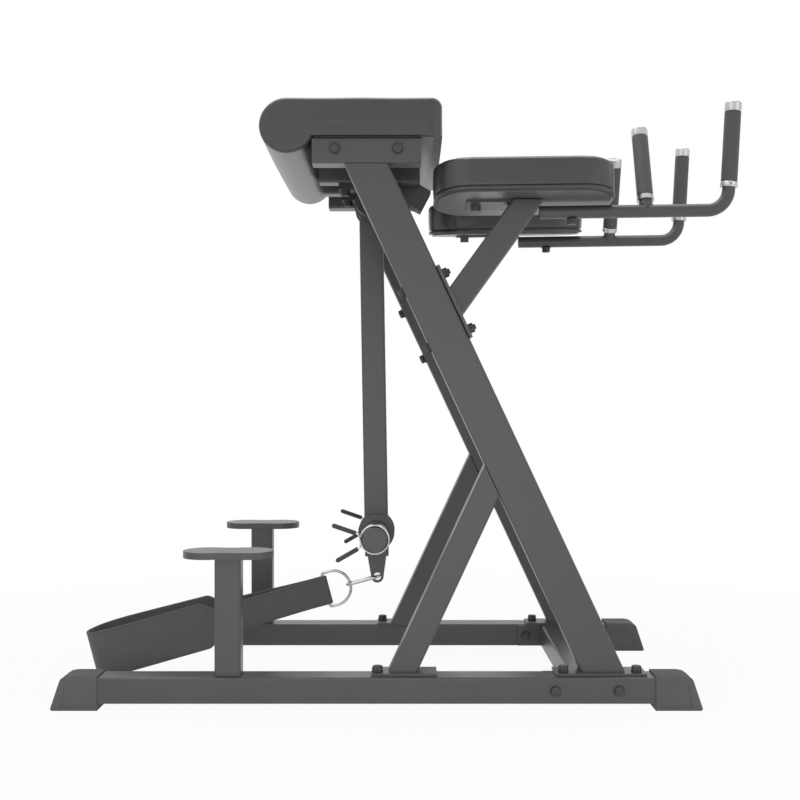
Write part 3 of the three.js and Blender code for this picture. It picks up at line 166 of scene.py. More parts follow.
class Nodes:
    """A node tree, emptied, that nodes are added to."""

    def __init__(self, owner):
        owner.use_nodes = True
        self.tree = owner.node_tree
        self.tree.nodes.clear()

    def add(self, kind, settings=None, sockets=None, out=0):
        """Adds a node, sets its settings first, then feeds its sockets, and returns one output."""
        node = self.tree.nodes.new(kind)
        for key, value in (settings or {}).items():
            setattr(node, key, value)
        for key, value in (sockets or {}).items():
            self.feed(node.inputs[key], value)
        return Wire(self, node.outputs[out])

    def feed(self, socket, value):
        if isinstance(value, Wire):
            self.tree.links.new(value.socket, socket)
        else:
            socket.default_value = value

    def seen(self):
        """1 where the camera, a gloss or a clear piece sees this straight, and 0 for all other light."""
        straight = self.add("ShaderNodeLightPath", out="Is Camera Ray")
        others = [straight.beside(name) for name in ("Is Glossy Ray", "Is Transmission Ray")]
        for other in others:
            straight = straight.maths("MAXIMUM", straight, other)
        return straight


class Recipe(Nodes):
    """One finish: a Principled shader with its even values, and the nodes that feed it."""

    def __init__(self, name, even):
        self.material = bpy.data.materials.new(name)
        super().__init__(self.material)
        self.output = self.tree.nodes.new("ShaderNodeOutputMaterial")
        self.shader = self.tree.nodes.new("ShaderNodeBsdfPrincipled")
        self.feed(self.output.inputs[0], Wire(self, self.shader.outputs[0]))
        for socket, value in even.items():
            self.set(socket, value)
        FINISHES[name] = self.material

    def set(self, socket, value):
        self.feed(self.shader.inputs[socket], value)

    def place(self):
        """A point in the piece's own coordinates."""
        return self.add("ShaderNodeTexCoord", out="Object")

    def noise(self, scale, detail=3.0, roughness=0.5, vector=None):
        return self.add("ShaderNodeTexNoise", sockets={
            "Vector": vector or self.place(), "Scale": scale, "Detail": detail, "Roughness": roughness})

    def tint(self, factor, dark, light):
        """Colours the finish between two tints."""
        mixed = self.add("ShaderNodeMix", {"data_type": "RGBA"}, {
            0: factor, 6: (*dark, 1.0), 7: (*light, 1.0)}, out=2)
        self.set("Base Color", mixed)

    def bump(self, height, strength, distance):
        self.set("Normal", self.add("ShaderNodeBump", sockets={
            "Strength": strength, "Distance": distance, "Height": height}))


def shade(colour, share):
    """A colour made darker or lighter by a share."""
    return tuple(min(1.0, channel * share) for channel in colour)


# Name, specular level, noise (scale, detail, roughness), two tints, roughness (least, span), bump
PLAIN_FINISHES = (
    # pad_board: the board's dark tone is lifted as painted light, standing for the light from the floor on
    # the pads' undersides.
    ("pad_board", 0.5, (70.0, 3.0, 0.5), (0.085, 0.085, 0.085), (0.12, 0.12, 0.12),
     (0.26, 0.1), (0.04, 0.0003)),
    ("collar_rubber", 0.3, (500.0, 2.0, 0.5), (0.05, 0.05, 0.051), (0.07, 0.07, 0.071),
     (0.5, 0.15), (0.2, 0.0004)),
    # bearing_iron is near-black: the bearings' own dark iron, and on the pivot rails painted shade,
    # standing for the shade that falls on the hardware under the pad beam.
    ("bearing_iron", 0.4, (420.0, 5.0, 0.7), (0.022, 0.022, 0.023), (0.045, 0.045, 0.046),
     (0.45, 0.25), (0.35, 0.0008)),
    ("bolt_black", 0.5, (300.0, 5.0, 0.65), (0.022, 0.022, 0.022), (0.05, 0.05, 0.051),
     (0.34, 0.2), (0.12, 0.0004)),
    ("thread", 0.3, (2200.0, 2.0, 0.5), (0.05, 0.05, 0.05), (0.12, 0.12, 0.12), (0.6, 0.2), None),
)

# Name, stretch of its fine lines, least roughness, lightness
METAL_FINISHES = (
    ("grip_aluminium", 40.0, 0.17, 1.04), ("spring_steel", 14.0, 0.12, 1.3),
    ("link_steel", 14.0, 0.06, 0.86), ("shaft_steel", 60.0, 0.3, 0.9),
)


def make_finishes(colours):
    """Builds every finish once, named as its material slot where it has one."""
    paint = Recipe("frame_paint", {"Metallic": 0.0, "Specular IOR Level": 0.5})
    cloud = paint.noise(6.0, 4.0)
    grain = paint.noise(1400.0, 2.0, 0.7)
    scuff = paint.noise(28.0, 6.0, 0.75)
    paint.tint(cloud * 0.6 + grain * 0.4, shade(colours.paint, 0.88), shade(colours.paint, 1.12))
    paint.set("Roughness", 0.26 + 0.1 * cloud + 0.08 * scuff)
    paint.bump(grain, 0.16, 0.0004)

    vinyl = Recipe("pad_vinyl", {"Specular IOR Level": 0.5, "Coat Weight": 0.25, "Coat Roughness": 0.14})
    pore = vinyl.add("ShaderNodeTexVoronoi", {"feature": "DISTANCE_TO_EDGE"}, {
        "Vector": vinyl.place(), "Scale": 620.0})
    cloud = vinyl.noise(9.0)
    fine = vinyl.noise(900.0, 3.0, 0.6)
    crease = vinyl.noise(60.0, 5.0, 0.6)
    vinyl.tint(0.55 * cloud + 0.45 * fine, shade(colours.vinyl, 0.88), shade(colours.vinyl, 1.12))
    vinyl.set("Roughness", 0.29 + 0.1 * fine + 0.06 * crease)
    vinyl.bump(pore.maths("MINIMUM", pore * 4.0, 0.5) + 0.5 * fine + 0.6 * crease, 0.22, 0.0007)

    shoe = Recipe("shoe_rubber", {"Specular IOR Level": 0.25})
    speck = shoe.noise(900.0, 3.0, 0.6)
    cloud = shoe.noise(12.0, 4.0)
    shoe.tint(0.4 * speck + 0.6 * cloud, shade(colours.rubber, 0.85), shade(colours.rubber, 1.15))
    shoe.set("Roughness", 0.6 + 0.18 * speck)
    shoe.bump(speck, 0.3, 0.0006)

    grip = Recipe("grip_rubber", {"Specular IOR Level": 0.5})
    knurl = grip.add("ShaderNodeTexVoronoi", {"feature": "F1"}, {"Vector": grip.place(), "Scale": 480.0})
    grip.tint(knurl, shade(colours.rubber, 0.75), shade(colours.rubber, 0.45))
    grip.set("Roughness", 0.28 + 0.25 * knurl)
    grip.bump(1.0 - knurl, 0.5, 0.0012)

    weave = Recipe("strap_webbing", {
        "Specular IOR Level": 0.2, "Sheen Weight": 0.15, "Sheen Roughness": 0.5})
    rib_pitch, yarn_pitch = 0.0026, 0.0022
    unrolled_place = weave.add("ShaderNodeTexCoord", out="UV")
    along = weave.add("ShaderNodeSeparateXYZ", sockets={"Vector": unrolled_place})
    rib = (along * (2.0 * math.pi / rib_pitch)).sine()
    yarn = (along.beside(1) * (2.0 * math.pi / yarn_pitch)).sine()
    cross = rib * yarn
    fuzz = weave.noise(1600.0, 3.0, 0.7)
    cloud = weave.noise(14.0, 4.0)
    weave.tint(
        0.5 + 0.16 * cross + 0.2 * (fuzz - 0.5) + 0.4 * (cloud - 0.5),
        shade(colours.webbing, 0.72), shade(colours.webbing, 1.28))
    weave.set("Roughness", 0.78 + 0.12 * fuzz)
    weave.bump(0.5 * cross + 0.5 * fuzz, 0.5, 0.0006)

    for name, stretch, rough, light in METAL_FINISHES:
        metal = Recipe(name, {"Metallic": 1.0})
        lines = metal.add("ShaderNodeMapping", sockets={
            "Vector": metal.place(), "Scale": (stretch, stretch, 1900.0)})
        brushed = metal.noise(1.0, 4.0, 0.6, vector=lines)
        smudge = metal.noise(45.0)
        metal.tint(
            0.5 * brushed + 0.5 * smudge,
            shade(colours.metal, 0.82 * light), shade(colours.metal, 1.14 * light))
        metal.set("Roughness", rough + 0.1 * brushed + 0.06 * smudge)
        metal.bump(brushed, 0.08, 0.0003)

    for name, specular, noise, dark, light, rough, bump in PLAIN_FINISHES:
        plain = Recipe(name, {"Specular IOR Level": specular})
        fleck = plain.noise(*noise)
        plain.tint(fleck, dark, light)
        plain.set("Roughness", rough[0] + rough[1] * fleck)
        if bump:
            plain.bump(fleck, *bump)


# Surfaces


def unit(vector):
    """The same direction, one long."""
    vector = np.asarray(vector, float)
    return vector / np.linalg.norm(vector, axis=-1, keepdims=True)


def smooth(share):
    """An ease between 0 and 1: three times the share's square less twice its cube."""
    share = np.clip(share, 0.0, 1.0)
    return share * share * (3.0 - 2.0 * share)


def square_to(axis):
    """Two directions that are square to an axis and to each other."""
    axis = unit(axis)
    side = unit(np.cross(axis, X_AXIS if abs(axis[0]) < 0.7 else Z_AXIS))
    return side, np.cross(axis, side)


def circle(first, second, sides):
    """Directions all round: the cosine of one direction plus the sine of another."""
    angle = np.linspace(0.0, 2.0 * math.pi, sides, endpoint=False)[:, None]
    return np.cos(angle) * first[..., None, :] + np.sin(angle) * second[..., None, :]


def tube_rings(path, radius, reference, sides, closed=False):
    """Circles carried along a path, each square to it and turned by a reference direction."""
    path = np.asarray(path, float)
    ahead = np.roll(path, -1, axis=0) - np.roll(path, 1, axis=0) if closed else np.gradient(path, axis=0)
    tangent = unit(ahead)
    across = unit(np.cross(tangent, reference))
    radius = np.broadcast_to(np.asarray(radius, float), (len(path),))[:, None, None]
    return path[:, None] + radius * circle(across, np.cross(across, tangent), sides)


def turned_rings(profile, origin, axis, sides):
    """A solid of revolution: each profile point is a radius and a distance along the axis."""
    profile = np.asarray(profile, float)
    centre = np.asarray(origin, float) + profile[:, 1:] * unit(axis)
    return centre[:, None] + profile[:, :1, None] * circle(*square_to(axis), sides)


def quarter_round(centre, size, steps):
    """A quarter of an ellipse in a profile, from its widest point to its top."""
    angle = np.linspace(0.0, QUARTER, steps)
    return np.array(centre) + np.array(size) * np.c_[np.cos(angle), np.sin(angle)]


def smooth_path(points, count, closed=False):
    """A centripetal Catmull-Rom curve through the points, sampled at even steps of its length."""
    points = np.asarray(points, float)
    if closed:
        points = np.r_[points[-1:], points, points[:2]]
    else:
        points = np.r_[2 * points[:1] - points[1:2], points, 2 * points[-1:] - points[-2:-1]]
    p0, p1, p2, p3 = points[:-3], points[1:-2], points[2:-1], points[3:]
    steps = ((p0, p1), (p1, p2), (p2, p3))
    d1, d2, d3 = (np.sqrt(np.linalg.norm(after - before, axis=1))[:, None] for before, after in steps)
    m1 = ((p1 - p0) / d1 - (p2 - p0) / (d1 + d2) + (p2 - p1) / d2) * d2
    m2 = ((p2 - p1) / d2 - (p3 - p1) / (d2 + d3) + (p3 - p2) / d3) * d2
    t = np.linspace(0.0, 1.0, 24, endpoint=False)[None, :, None]
    a, b = 2 * p1 - 2 * p2 + m1 + m2, -3 * p1 + 3 * p2 - 2 * m1 - m2
    curve = (a[:, None] * t**3 + b[:, None] * t**2 + m1[:, None] * t + p1[:, None]).reshape(-1, 3)
    curve = np.r_[curve, p2[-1:]]
    length = np.r_[0.0, np.cumsum(np.linalg.norm(np.diff(curve, axis=0), axis=1))]
    wanted = np.linspace(0.0, length[-1], count, endpoint=not closed)
    return np.stack([np.interp(wanted, length, curve[:, k]) for k in range(3)], axis=-1)


def grid_faces(rows, columns, wrap_rows):
    """Quads between neighbouring rows of points, with every row closed on itself."""
    i = np.arange(rows if wrap_rows else rows - 1)[:, None]
    j = np.arange(columns)[None, :]
    below = (i + 1) % rows
    beside = (j + 1) % columns
    quads = np.stack([
        i * columns + j, i * columns + beside, below * columns + beside, below * columns + j], axis=-1)
    return quads.reshape(-1, 4)


def signed_volume(points, faces):
    """Six times the volume inside closed quads: negative where they face inwards."""
    a, b, c, d = (points[faces[:, corner]] for corner in range(4))
    return np.einsum("ij,ij->", a, np.cross(b, c)) + np.einsum("ij,ij->", a, np.cross(c, d))


def unrolled(rings, quads, ends, loop):
    """Lengths along and around the rings for each face corner, carried on past the last row and column."""
    rows, columns = rings.shape[:2]
    middle = rings[rows // 2]
    along = np.r_[0.0, np.cumsum(np.linalg.norm(np.diff(rings[:, 0], axis=0), axis=1))]
    around = np.r_[0.0, np.cumsum(np.linalg.norm(np.diff(middle, axis=0), axis=1))]
    step = np.linalg.norm(rings[0, 0] - rings[-1, 0])
    closing = np.linalg.norm(middle[0] - middle[-1])
    used = np.concatenate([quads.ravel(), *ends])
    sizes = np.array([4] * len(quads) + [columns] * len(ends))
    owner = np.repeat(np.arange(len(sizes)), sizes)
    starts = np.r_[0, np.cumsum(sizes)[:-1]]
    row, column = used // columns, used % columns

    def past(place, last):
        least = np.minimum.reduceat(place, starts)[owner]
        most = np.maximum.reduceat(place, starts)[owner]
        return (owner < len(quads)) & (least == 0) & (most == last) & (place == 0)

    v = np.where(past(column, columns - 1), around[-1] + closing, around[column])
    u = np.where(past(row, rows - 1) & loop, along[-1] + step, along[row])
    return np.stack([u, v], axis=-1)


def skin(name, rings, body, slot, finish=None, loop=False, sharp=40.0, stands_for=None):
    """A closed surface: rings of points joined by quads, with each open end closed by one flat face."""
    rings = (np.asarray(rings, float) + DATUM) * MM
    rows, columns = rings.shape[:2]
    points = rings.reshape(-1, 3)
    quads = grid_faces(rows, columns, loop)
    first = np.arange(columns)[::-1]
    ends = [] if loop else [first, first[::-1] + (rows - 1) * columns]
    if signed_volume(points - points.mean(axis=0), quads) < 0:
        quads, ends = quads[:, ::-1], [end[::-1] for end in ends]
    mesh = bpy.data.meshes.new(name)
    mesh.from_pydata(points.tolist(), [], quads.tolist() + [end.tolist() for end in ends])
    layer = mesh.uv_layers.new(name="UVMap")
    layer.data.foreach_set("uv", unrolled(rings, quads, ends, loop).astype(np.float32).ravel())
    mesh.shade_smooth()
    mesh.set_sharp_from_angle(angle=math.radians(sharp))
    mesh.materials.append(FINISHES[finish or slot])
    piece = bpy.data.objects.new(name, mesh)
    bpy.context.scene.collection.objects.link(piece)
    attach(piece, body)
    if stands_for:
        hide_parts(stands_for)
    return piece


def billow(piece, held, pressure, cap):
    """Fills a cushion as cloth under pressure: held points stay, and no other moves out past the cap."""
    frames, fullest = 20, 0.98
    before, after = np.empty(held.size * 3), np.empty(held.size * 3)
    piece.data.vertices.foreach_get("co", before)
    group = piece.vertex_groups.new(name="held")
    group.add(np.flatnonzero(held).tolist(), 1.0, "REPLACE")
    cover = piece.modifiers.new("cover", "CLOTH")
    cloth = cover.settings
    cloth.quality = 4
    cloth.mass = 0.3
    cloth.tension_stiffness = cloth.compression_stiffness = 40.0
    cloth.shear_stiffness = 20.0
    cloth.bending_stiffness = 2.0
    cloth.use_pressure = True
    cloth.uniform_pressure_force = pressure
    cloth.vertex_group_mass = "held"
    cloth.effector_weights.gravity = 0.0
    cover.point_cache.frame_start = 1
    cover.point_cache.frame_end = frames
    scene = bpy.context.scene
    for step in range(1, frames + 1):
        scene.frame_set(step)
    piece.evaluated_get(bpy.context.evaluated_depsgraph_get()).data.vertices.foreach_get("co", after)
    moved = (after - before).reshape(-1, 3)
    reach = np.linalg.norm(moved, axis=1)
    full = float(np.quantile(reach[~held.ravel()], fullest))
    moved *= (min(1.0, cap / full) * np.minimum(1.0, full / np.maximum(reach, 1e-9)))[:, None]
    piece.modifiers.remove(cover)
    piece.vertex_groups.remove(group)
    piece.data.vertices.foreach_set("co", before + moved.ravel())
    piece.data.update()
    scene.frame_set(1)


def with_side(points, side):
    """The right side's points as they are, or mirrored to the left."""
    return np.asarray(points, float) * np.array([1.0, -side, 1.0])


# Where things are


POST_FACE, POST_LEAN, POST_MIDDLE = 76.0, math.radians(25.0), np.array([140.2, -253.0, 586.4])
PIVOT = np.array([-68.4, 0.0, 1000.0])
TILT = math.radians(0.98)
HORN_DROP, HOLE_DROP, HORN_ROOT, COLLAR_Y = 692.4, 790.0, 25.3, 164.0
HANG = np.array([math.sin(TILT), 0.0, -math.cos(TILT)])
SWING = np.array([math.cos(TILT), 0.0, math.sin(TILT)])
SLOPE = math.radians(15.0)
LINK = np.array([-math.cos(SLOPE), 0.0, -math.sin(SLOPE)])
LINK_UP = np.array([math.sin(SLOPE), 0.0, -math.cos(SLOPE)])
LINK_LENGTH, LINK_WIRE, LINK_GAP, HOLE_RADIUS = 71.0, 6.5, 0.3, 8.0
LINK_START = PIVOT + HOLE_DROP * HANG + (LINK_WIRE / 2 + LINK_GAP - HOLE_RADIUS) * LINK
DEE_WIRE, DEE_HALF, DEE_DEPTH = 5.6, 37.0, 53.5
DEE_TIP = LINK_LENGTH - (LINK_WIRE + DEE_WIRE) / 2 - LINK_GAP
DEE_BAR = DEE_TIP + DEE_DEPTH
TORSO_FRONT, TORSO_HALF, TORSO_BOTTOM, TORSO_TOP = 76.5, 288.0, 1089.5, 1163.0
ROLL_X, ROLL_RADIUS, BOARD_REAR = -222.0, 54.0, -172.0
FOREARM_PLACE = (236.0, -210.0, 972.0)
FOREARM_ROLL, FOREARM_PITCH = math.radians(-6.3), math.radians(-0.8)
BAR_RADIUS, BAR_Z, BAR_SIDE, BAR_START = 12.7, 955.0, 208.0, 262.0
BEND_X, BEND_RADIUS, BEND_STUB = 598.0, 42.0, 5.0
BAR_LEAN, BAR_PITCH = math.radians(3.2), math.radians(0.8)
GRIP_SPAN, UPRIGHT_X, UPRIGHT_STUB, UPRIGHT_LEAN = 164.6, 478.5, 22.0, math.radians(22.0)


def on_link(points):
    """Points given along the strap, across it and square to both, from the link's start."""
    points = np.asarray(points, float)
    return LINK_START + points @ np.array([LINK, Y_AXIS, LINK_UP])


def on_pendulum(points, side_y):
    """Points about the horns' line, turned by the pendulum's rest tilt."""
    start = PIVOT + HORN_DROP * HANG + np.array([0.0, side_y, 0.0])
    return start + np.asarray(points, float) @ np.array([SWING, Y_AXIS, -HANG])


# Operators


class MACHINE_OT_frame_finish(bpy.types.Operator):
    """Finish the tubes, plates, shoes and castings that keep their solids"""

    bl_idname = "machine.frame_finish"
    bl_label = "Frame finish"

    def execute(self, context):
        make_finishes(context.scene.machine_finish)
        for row in frame["record"]["subparts"]:
            finishes = frame["nodes"][row["node"]].data.materials
            finishes.clear()
            finishes.append(FINISHES[row["material_slot"]])
        return {"FINISHED"}


def torso_outline():
    """The torso pad's side profile as x, z and outward normal: front, corner, top, roll and underside."""
    corner, fade = 18.0, 40.0
    roll_z = TORSO_TOP - ROLL_RADIUS
    meet = math.asin((TORSO_BOTTOM - roll_z) / ROLL_RADIUS)
    rise = np.linspace(TORSO_BOTTOM, TORSO_TOP - corner, 8)[:-1]
    run = np.linspace(TORSO_FRONT - corner, ROLL_X, 42)[1:-1]
    under = np.linspace(ROLL_X + ROLL_RADIUS * math.cos(meet), TORSO_FRONT, 36)[1:-1]
    a, b = np.linspace(0.0, QUARTER, 14), np.linspace(QUARTER, 2 * math.pi + meet, 84)
    parts = (
        (TORSO_FRONT, rise, 1.0, 0.0),
        (TORSO_FRONT - corner + corner * np.cos(a), TORSO_TOP - corner + corner * np.sin(a),
         np.cos(a), np.sin(a)),
        (run, TORSO_TOP, 0.0, 1.0),
        (ROLL_X + ROLL_RADIUS * np.cos(b), roll_z + ROLL_RADIUS * np.sin(b), np.cos(b), np.sin(b)),
        (under, TORSO_BOTTOM, np.clip(1.0 + (under - TORSO_FRONT) / fade, 0.0, 1.0), -1.0))
    return np.concatenate([np.broadcast_arrays(*part) for part in parts], axis=1)


def end_spine(ring):
    """The line inside an end face that its outline shrinks to: flat part's middle to roll's centre."""
    front, roll_front, low_z, rise, blend = 44.0, -150.0, 1108.0, 16.0, 60.0
    under_roll = (ring[:, 2] < TORSO_BOTTOM - 0.5) & (ring[:, 0] < roll_front)
    x = np.where(under_roll, ROLL_X, np.clip(ring[:, 0], ROLL_X, front))
    return np.stack([x, ring[:, 1], low_z + rise * smooth((x - ROLL_X) / blend)], axis=-1)


def end_face(ring, side):
    """Rings that close an end with a slight swell, shrinking from its outline to its spine."""
    least, bulge = 0.12, 0.9
    spine = end_spine(ring)
    share = np.linspace(1.0, least, 10)[1:, None, None]
    rings = spine + share * (ring - spine)
    rings[..., 1] += side * bulge * (1.0 - share[..., 0] ** 2)
    return rings


class MACHINE_OT_torso_cushion(bpy.types.Operator):
    """Build the torso pad: a flat cushion that ends in a roll"""

    bl_idname = "machine.torso_cushion"
    bl_label = "Torso cushion"

    def execute(self, context):
        pads = context.scene.machine_pad
        crown, edge, draw = pads.crown / MM, pads.edge_round / MM, pads.side_draw / MM
        corner, blend, seam_row, seam_reach, board_slack, held_height = 20.0, 40.0, 13, 6, 0.3, 1.5
        wrinkle, wave_along, wave_across, wander = 0.35, 23.0, 37.0, 61.0
        x, z, nx, nz = torso_outline()
        a = np.linspace(0.0, QUARTER, 9)
        half, inner = TORSO_HALF, TORSO_HALF - corner
        y = np.r_[half - edge * (1 - np.cos(a)), np.linspace(half - edge, inner, 10)[1:]]
        y = np.r_[y, np.linspace(inner, -inner, 46)[1:-1], -y[::-1]][:, None]
        share = y / half
        inset = np.r_[edge * (1 - np.sin(a)), np.zeros(9)]
        inset = np.r_[inset, np.zeros(44), inset[::-1]][:, None] + draw * share**2
        past = np.clip(np.abs(y) - inner, 0, corner)
        near_front = np.clip(x - TORSO_FRONT + blend, 0, blend) / blend
        drawn = (corner - np.sqrt(corner**2 - past**2)) * near_front
        rearwards = np.clip((TORSO_FRONT - x) / (TORSO_FRONT - ROLL_X), 0, 1)
        swell = crown * (1 - share**4) * np.sin(math.pi * rearwards)
        ripple = wrinkle * np.sin(x / wave_along + 2.0 * np.sin(y / wander)) * np.sin(y / wave_across)
        lifted = np.where(nz > 0, (swell + ripple) * nz, 0.0)
        on_board = (nz < 0) & (x > BOARD_REAR) & (z > TORSO_BOTTOM - board_slack)
        sunk = np.where(on_board, 0.0, inset * nz)
        rings = np.stack(np.broadcast_arrays(x - inset * nx - drawn, y, z - sunk + lifted), axis=-1)
        rings = np.concatenate([end_face(rings[0], 1.0)[::-1], rings, end_face(rings[-1], -1.0)])
        pad = skin("torso_cushion", rings, "frame", "pad_vinyl", sharp=50.0)
        row = np.arange(len(rings))
        seam = np.abs(np.minimum(row, row[::-1]) - seam_row) < seam_reach
        low = rings[..., 2] < TORSO_BOTTOM + held_height
        billow(pad, seam[:, None] | low, pads.pressure, pads.swell)
        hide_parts("torso_pad")
        return {"FINISHED"}


def tilted(points, side):
    """The forearm pad's own coordinates, rolled inwards, pitched up and put in place."""
    turn = np.eye(3)
    for angle, first, second in ((FOREARM_ROLL, 1, 2), (FOREARM_PITCH, 2, 0)):
        step = np.eye(3)
        step[first, first] = step[second, second] = math.cos(angle)
        step[second, first] = math.sin(angle)
        step[first, second] = -math.sin(angle)
        turn = step @ turn
    return with_side(points @ turn.T + FOREARM_PLACE, side)


def rounded_outline(length, width, corner, steps=22):
    """A rectangle with round corners: corner centres and outward directions, point by point."""
    x, y = length / 2 - corner, width / 2 - corner
    centres = np.array([[x, y], [-x, y], [-x, -y], [x, -y]])
    angle = np.linspace(0, QUARTER, steps)[None] + np.arange(4)[:, None] * QUARTER
    out = np.stack([np.cos(angle), np.sin(angle)], axis=-1).reshape(-1, 2)
    return np.repeat(centres, steps, axis=0), out


class MACHINE_OT_forearm_cushions(bpy.types.Operator):
    """Build the two forearm pads, each with a groove above the lip of its lower edge"""

    bl_idname = "machine.forearm_cushions"
    bl_label = "Forearm cushions"

    def execute(self, context):
        pads = context.scene.machine_pad
        draw, crown = pads.side_draw / MM, pads.crown / MM + 1.0
        length, width, corner, lip, thick, top_round = 352.0, 182.0, 72.0, 3.5, 71.0, 14.0
        wall_draw, wall_reach, top_draw = 0.6 * draw, 0.85 * math.pi, 0.33 * draw
        centre, out = rounded_outline(length, width, corner)
        shoulder = lip + thick - top_round
        a = np.linspace(0.0, QUARTER, 14)[1:]
        wall = np.linspace(0.0, 1.0, 12)[1:]
        # Inset and height of the lower edge, the lip, the groove above it and the start of the wall
        band = np.array([
            [16.0, 0.0], [3.0, 0.0], [1.2, 0.2], [0.3, 0.9], [0.0, 2.0], [0.0, 4.4], [0.4, 5.3], [1.6, 5.9],
            [4.0, 6.1], [4.6, 6.6], [4.6, 7.8], [4.0, 8.4], [2.6, 8.7], [1.6, 9.4], [1.2, 10.6]])
        foot = lip + band[-1, 1]
        radius = corner - np.r_[
            band[:, 0], wall_draw * (1 - np.sin(wall_reach * wall)), top_draw + top_round * (1 - np.cos(a))]
        height = np.r_[
            lip + band[:, 1], foot + (shoulder - foot) * wall, shoulder + (top_round - crown) * np.sin(a)]
        closing = np.linspace(1.0, 0.03, 14)[1:]
        inwards = np.r_[np.ones(len(radius)), closing]
        radius = np.r_[radius, radius[-1] * closing]
        height = np.r_[height, height[-1] + crown * (1 - closing**2)][:, None, None]
        flat = centre * inwards[:, None, None] + out * radius[:, None, None]
        rings = np.concatenate([flat, np.broadcast_to(height, (*flat.shape[:2], 1))], axis=-1)
        held = np.repeat(np.arange(len(rings)) < len(band) + 2, len(centre))
        for name, side in SIDES:
            pad = skin(f"forearm_cushion_{name}", tilted(rings, side), "frame", "pad_vinyl", sharp=60.0)
            billow(pad, held, pads.pressure, pads.swell)
            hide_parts(f"forearm_pad_{name}")
        return {"FINISHED"}


def strap_line(length, thick, count):
    """The strap's middle line: out from the ring's bar, widening, and round behind the ankles."""
    half_width, clearance = 72.0, 1.0
    # Shares of the strap's length and half width
    shares = np.array([
        [0.06, 0.1], [0.12, 0.155], [0.2, 0.285], [0.28, 0.43], [0.36, 0.57], [0.45, 0.68], [0.54, 0.765],
        [0.66, 0.86], [0.76, 0.94], [0.84, 0.985], [0.9, 0.95], [0.95, 0.78], [0.985, 0.45]])
    wrap = DEE_WIRE / 2 + clearance + thick / 2
    side = np.c_[DEE_BAR + shares[:, 0] * length, half_width * shares[:, 1], np.zeros(len(shares))]
    out = np.r_[[[DEE_BAR, wrap, 0.0]], side]
    near, far = [[DEE_BAR - wrap, 0.0, 0.0]], [[DEE_BAR + length, 0.0, 0.0]]
    return smooth_path(np.r_[near, out, far, with_side(out[::-1], 1.0)], count, closed=True)


class MACHINE_OT_ankle_strap(bpy.types.Operator):
    """Build the ankle strap: one loop of webbing with bound edges and rows of stitching"""

    bl_idname = "machine.ankle_strap"
    bl_label = "Ankle strap"

    def execute(self, context):
        strap = context.scene.machine_strap
        length, thick = strap.length / MM, strap.thickness / MM
        step_at, step_span, seam_inset, seam_lift, seam_radius = 0.445, 0.065, 5.0, 0.1, 0.45
        line = strap_line(length, thick, 320)
        tangent = unit(np.roll(line, -1, axis=0) - np.roll(line, 1, axis=0))
        normal = np.stack([tangent[:, 1], -tangent[:, 0], np.zeros(len(line))], axis=-1)
        ease = smooth(((line[:, 0] - DEE_BAR) / length - step_at) / step_span)
        half = (strap.narrow + (strap.wide - strap.narrow) * ease)[:, None] / MM / 2
        edge = thick / 2
        a = np.linspace(-QUARTER, QUARTER, 7)[1:-1]
        rise = np.linspace(-1.0, 1.0, 15)
        up = np.r_[rise, np.ones(5), rise[::-1], -np.ones(5)]
        extra = edge * np.r_[np.zeros(15), np.cos(a), np.zeros(15), -np.cos(a)]
        out = edge * np.r_[-np.ones(15), np.sin(a), np.ones(15), -np.sin(a)]
        rings = (line[:, None] + out[:, None] * normal[:, None]
                 + ((half - edge) * up + extra)[..., None] * Z_AXIS)
        skin("ankle_band", on_link(rings), "strap", "strap_webbing", loop=True, stands_for="ankle_strap")
        for level, offset in (("upper", -1.0), ("lower", 1.0)):
            for face, side in (("outer", 1.0), ("inner", -1.0)):
                seam = line + side * (edge + seam_lift) * normal + offset * (half - seam_inset) * Z_AXIS
                stitches = tube_rings(on_link(seam), seam_radius, Z_AXIS, 6, closed=True)
                skin(f"strap_seam_{level}_{face}", stitches, "strap", "strap_webbing", "thread", loop=True)
        return {"FINISHED"}


class MACHINE_OT_link_wires(bpy.types.Operator):
    """Build the carabiner, its gate and the D ring"""

    bl_idname = "machine.link_wires"
    bl_label = "Carabiner and ring"

    def execute(self, context):
        bend, gate, dee_corner, dee_extra = 12.0, 34.0, 4.0, 0.3
        begin = (LINK_LENGTH - gate) / 2
        a = np.linspace(QUARTER, 3 * QUARTER, 24)
        near = np.c_[bend + bend * np.cos(a), bend * np.sin(a), np.zeros(24)]
        far = (LINK_LENGTH, 0.0, 0.0) - near
        path = np.r_[[[begin, bend, 0.0]], near, far, [[begin + gate, bend, 0.0]]]
        body = tube_rings(on_link(path), LINK_WIRE / 2, LINK_UP, 20)
        skin("carabiner_body", body, "carabiner", "link_steel", stands_for="carabiner")
        bar = [[1.9, 0.3], [2.6, 0.8], [2.8, 1.6], [2.8, gate - 2.6], [2.6, gate - 1.7], [1.9, gate - 1.2]]
        bar = turned_rings(bar, on_link([begin, bend, 0.0]), LINK, 24)
        skin("gate_bar", bar, "gate", "link_steel", stands_for="carabiner_gate")
        b = np.linspace(QUARTER, 3 * QUARTER, 40)
        arc = np.c_[DEE_TIP + DEE_HALF + DEE_HALF * np.cos(b), np.zeros(40), DEE_HALF * np.sin(b)]
        c = np.linspace(0.0, QUARTER, 8)
        low_x, low_z = DEE_BAR - dee_corner * (1 - np.sin(c)), dee_corner * (1 - np.cos(c)) - DEE_HALF
        low = np.c_[low_x, np.zeros(8), low_z]
        path = np.r_[arc, low, low[::-1] * (1.0, 1.0, -1.0)]
        ring = tube_rings(on_link(path), DEE_WIRE / 2 + dee_extra, Y_AXIS, 18, closed=True)
        skin("d_ring_wire", ring, "strap", "link_steel", loop=True, stands_for="d_ring")
        return {"FINISHED"}


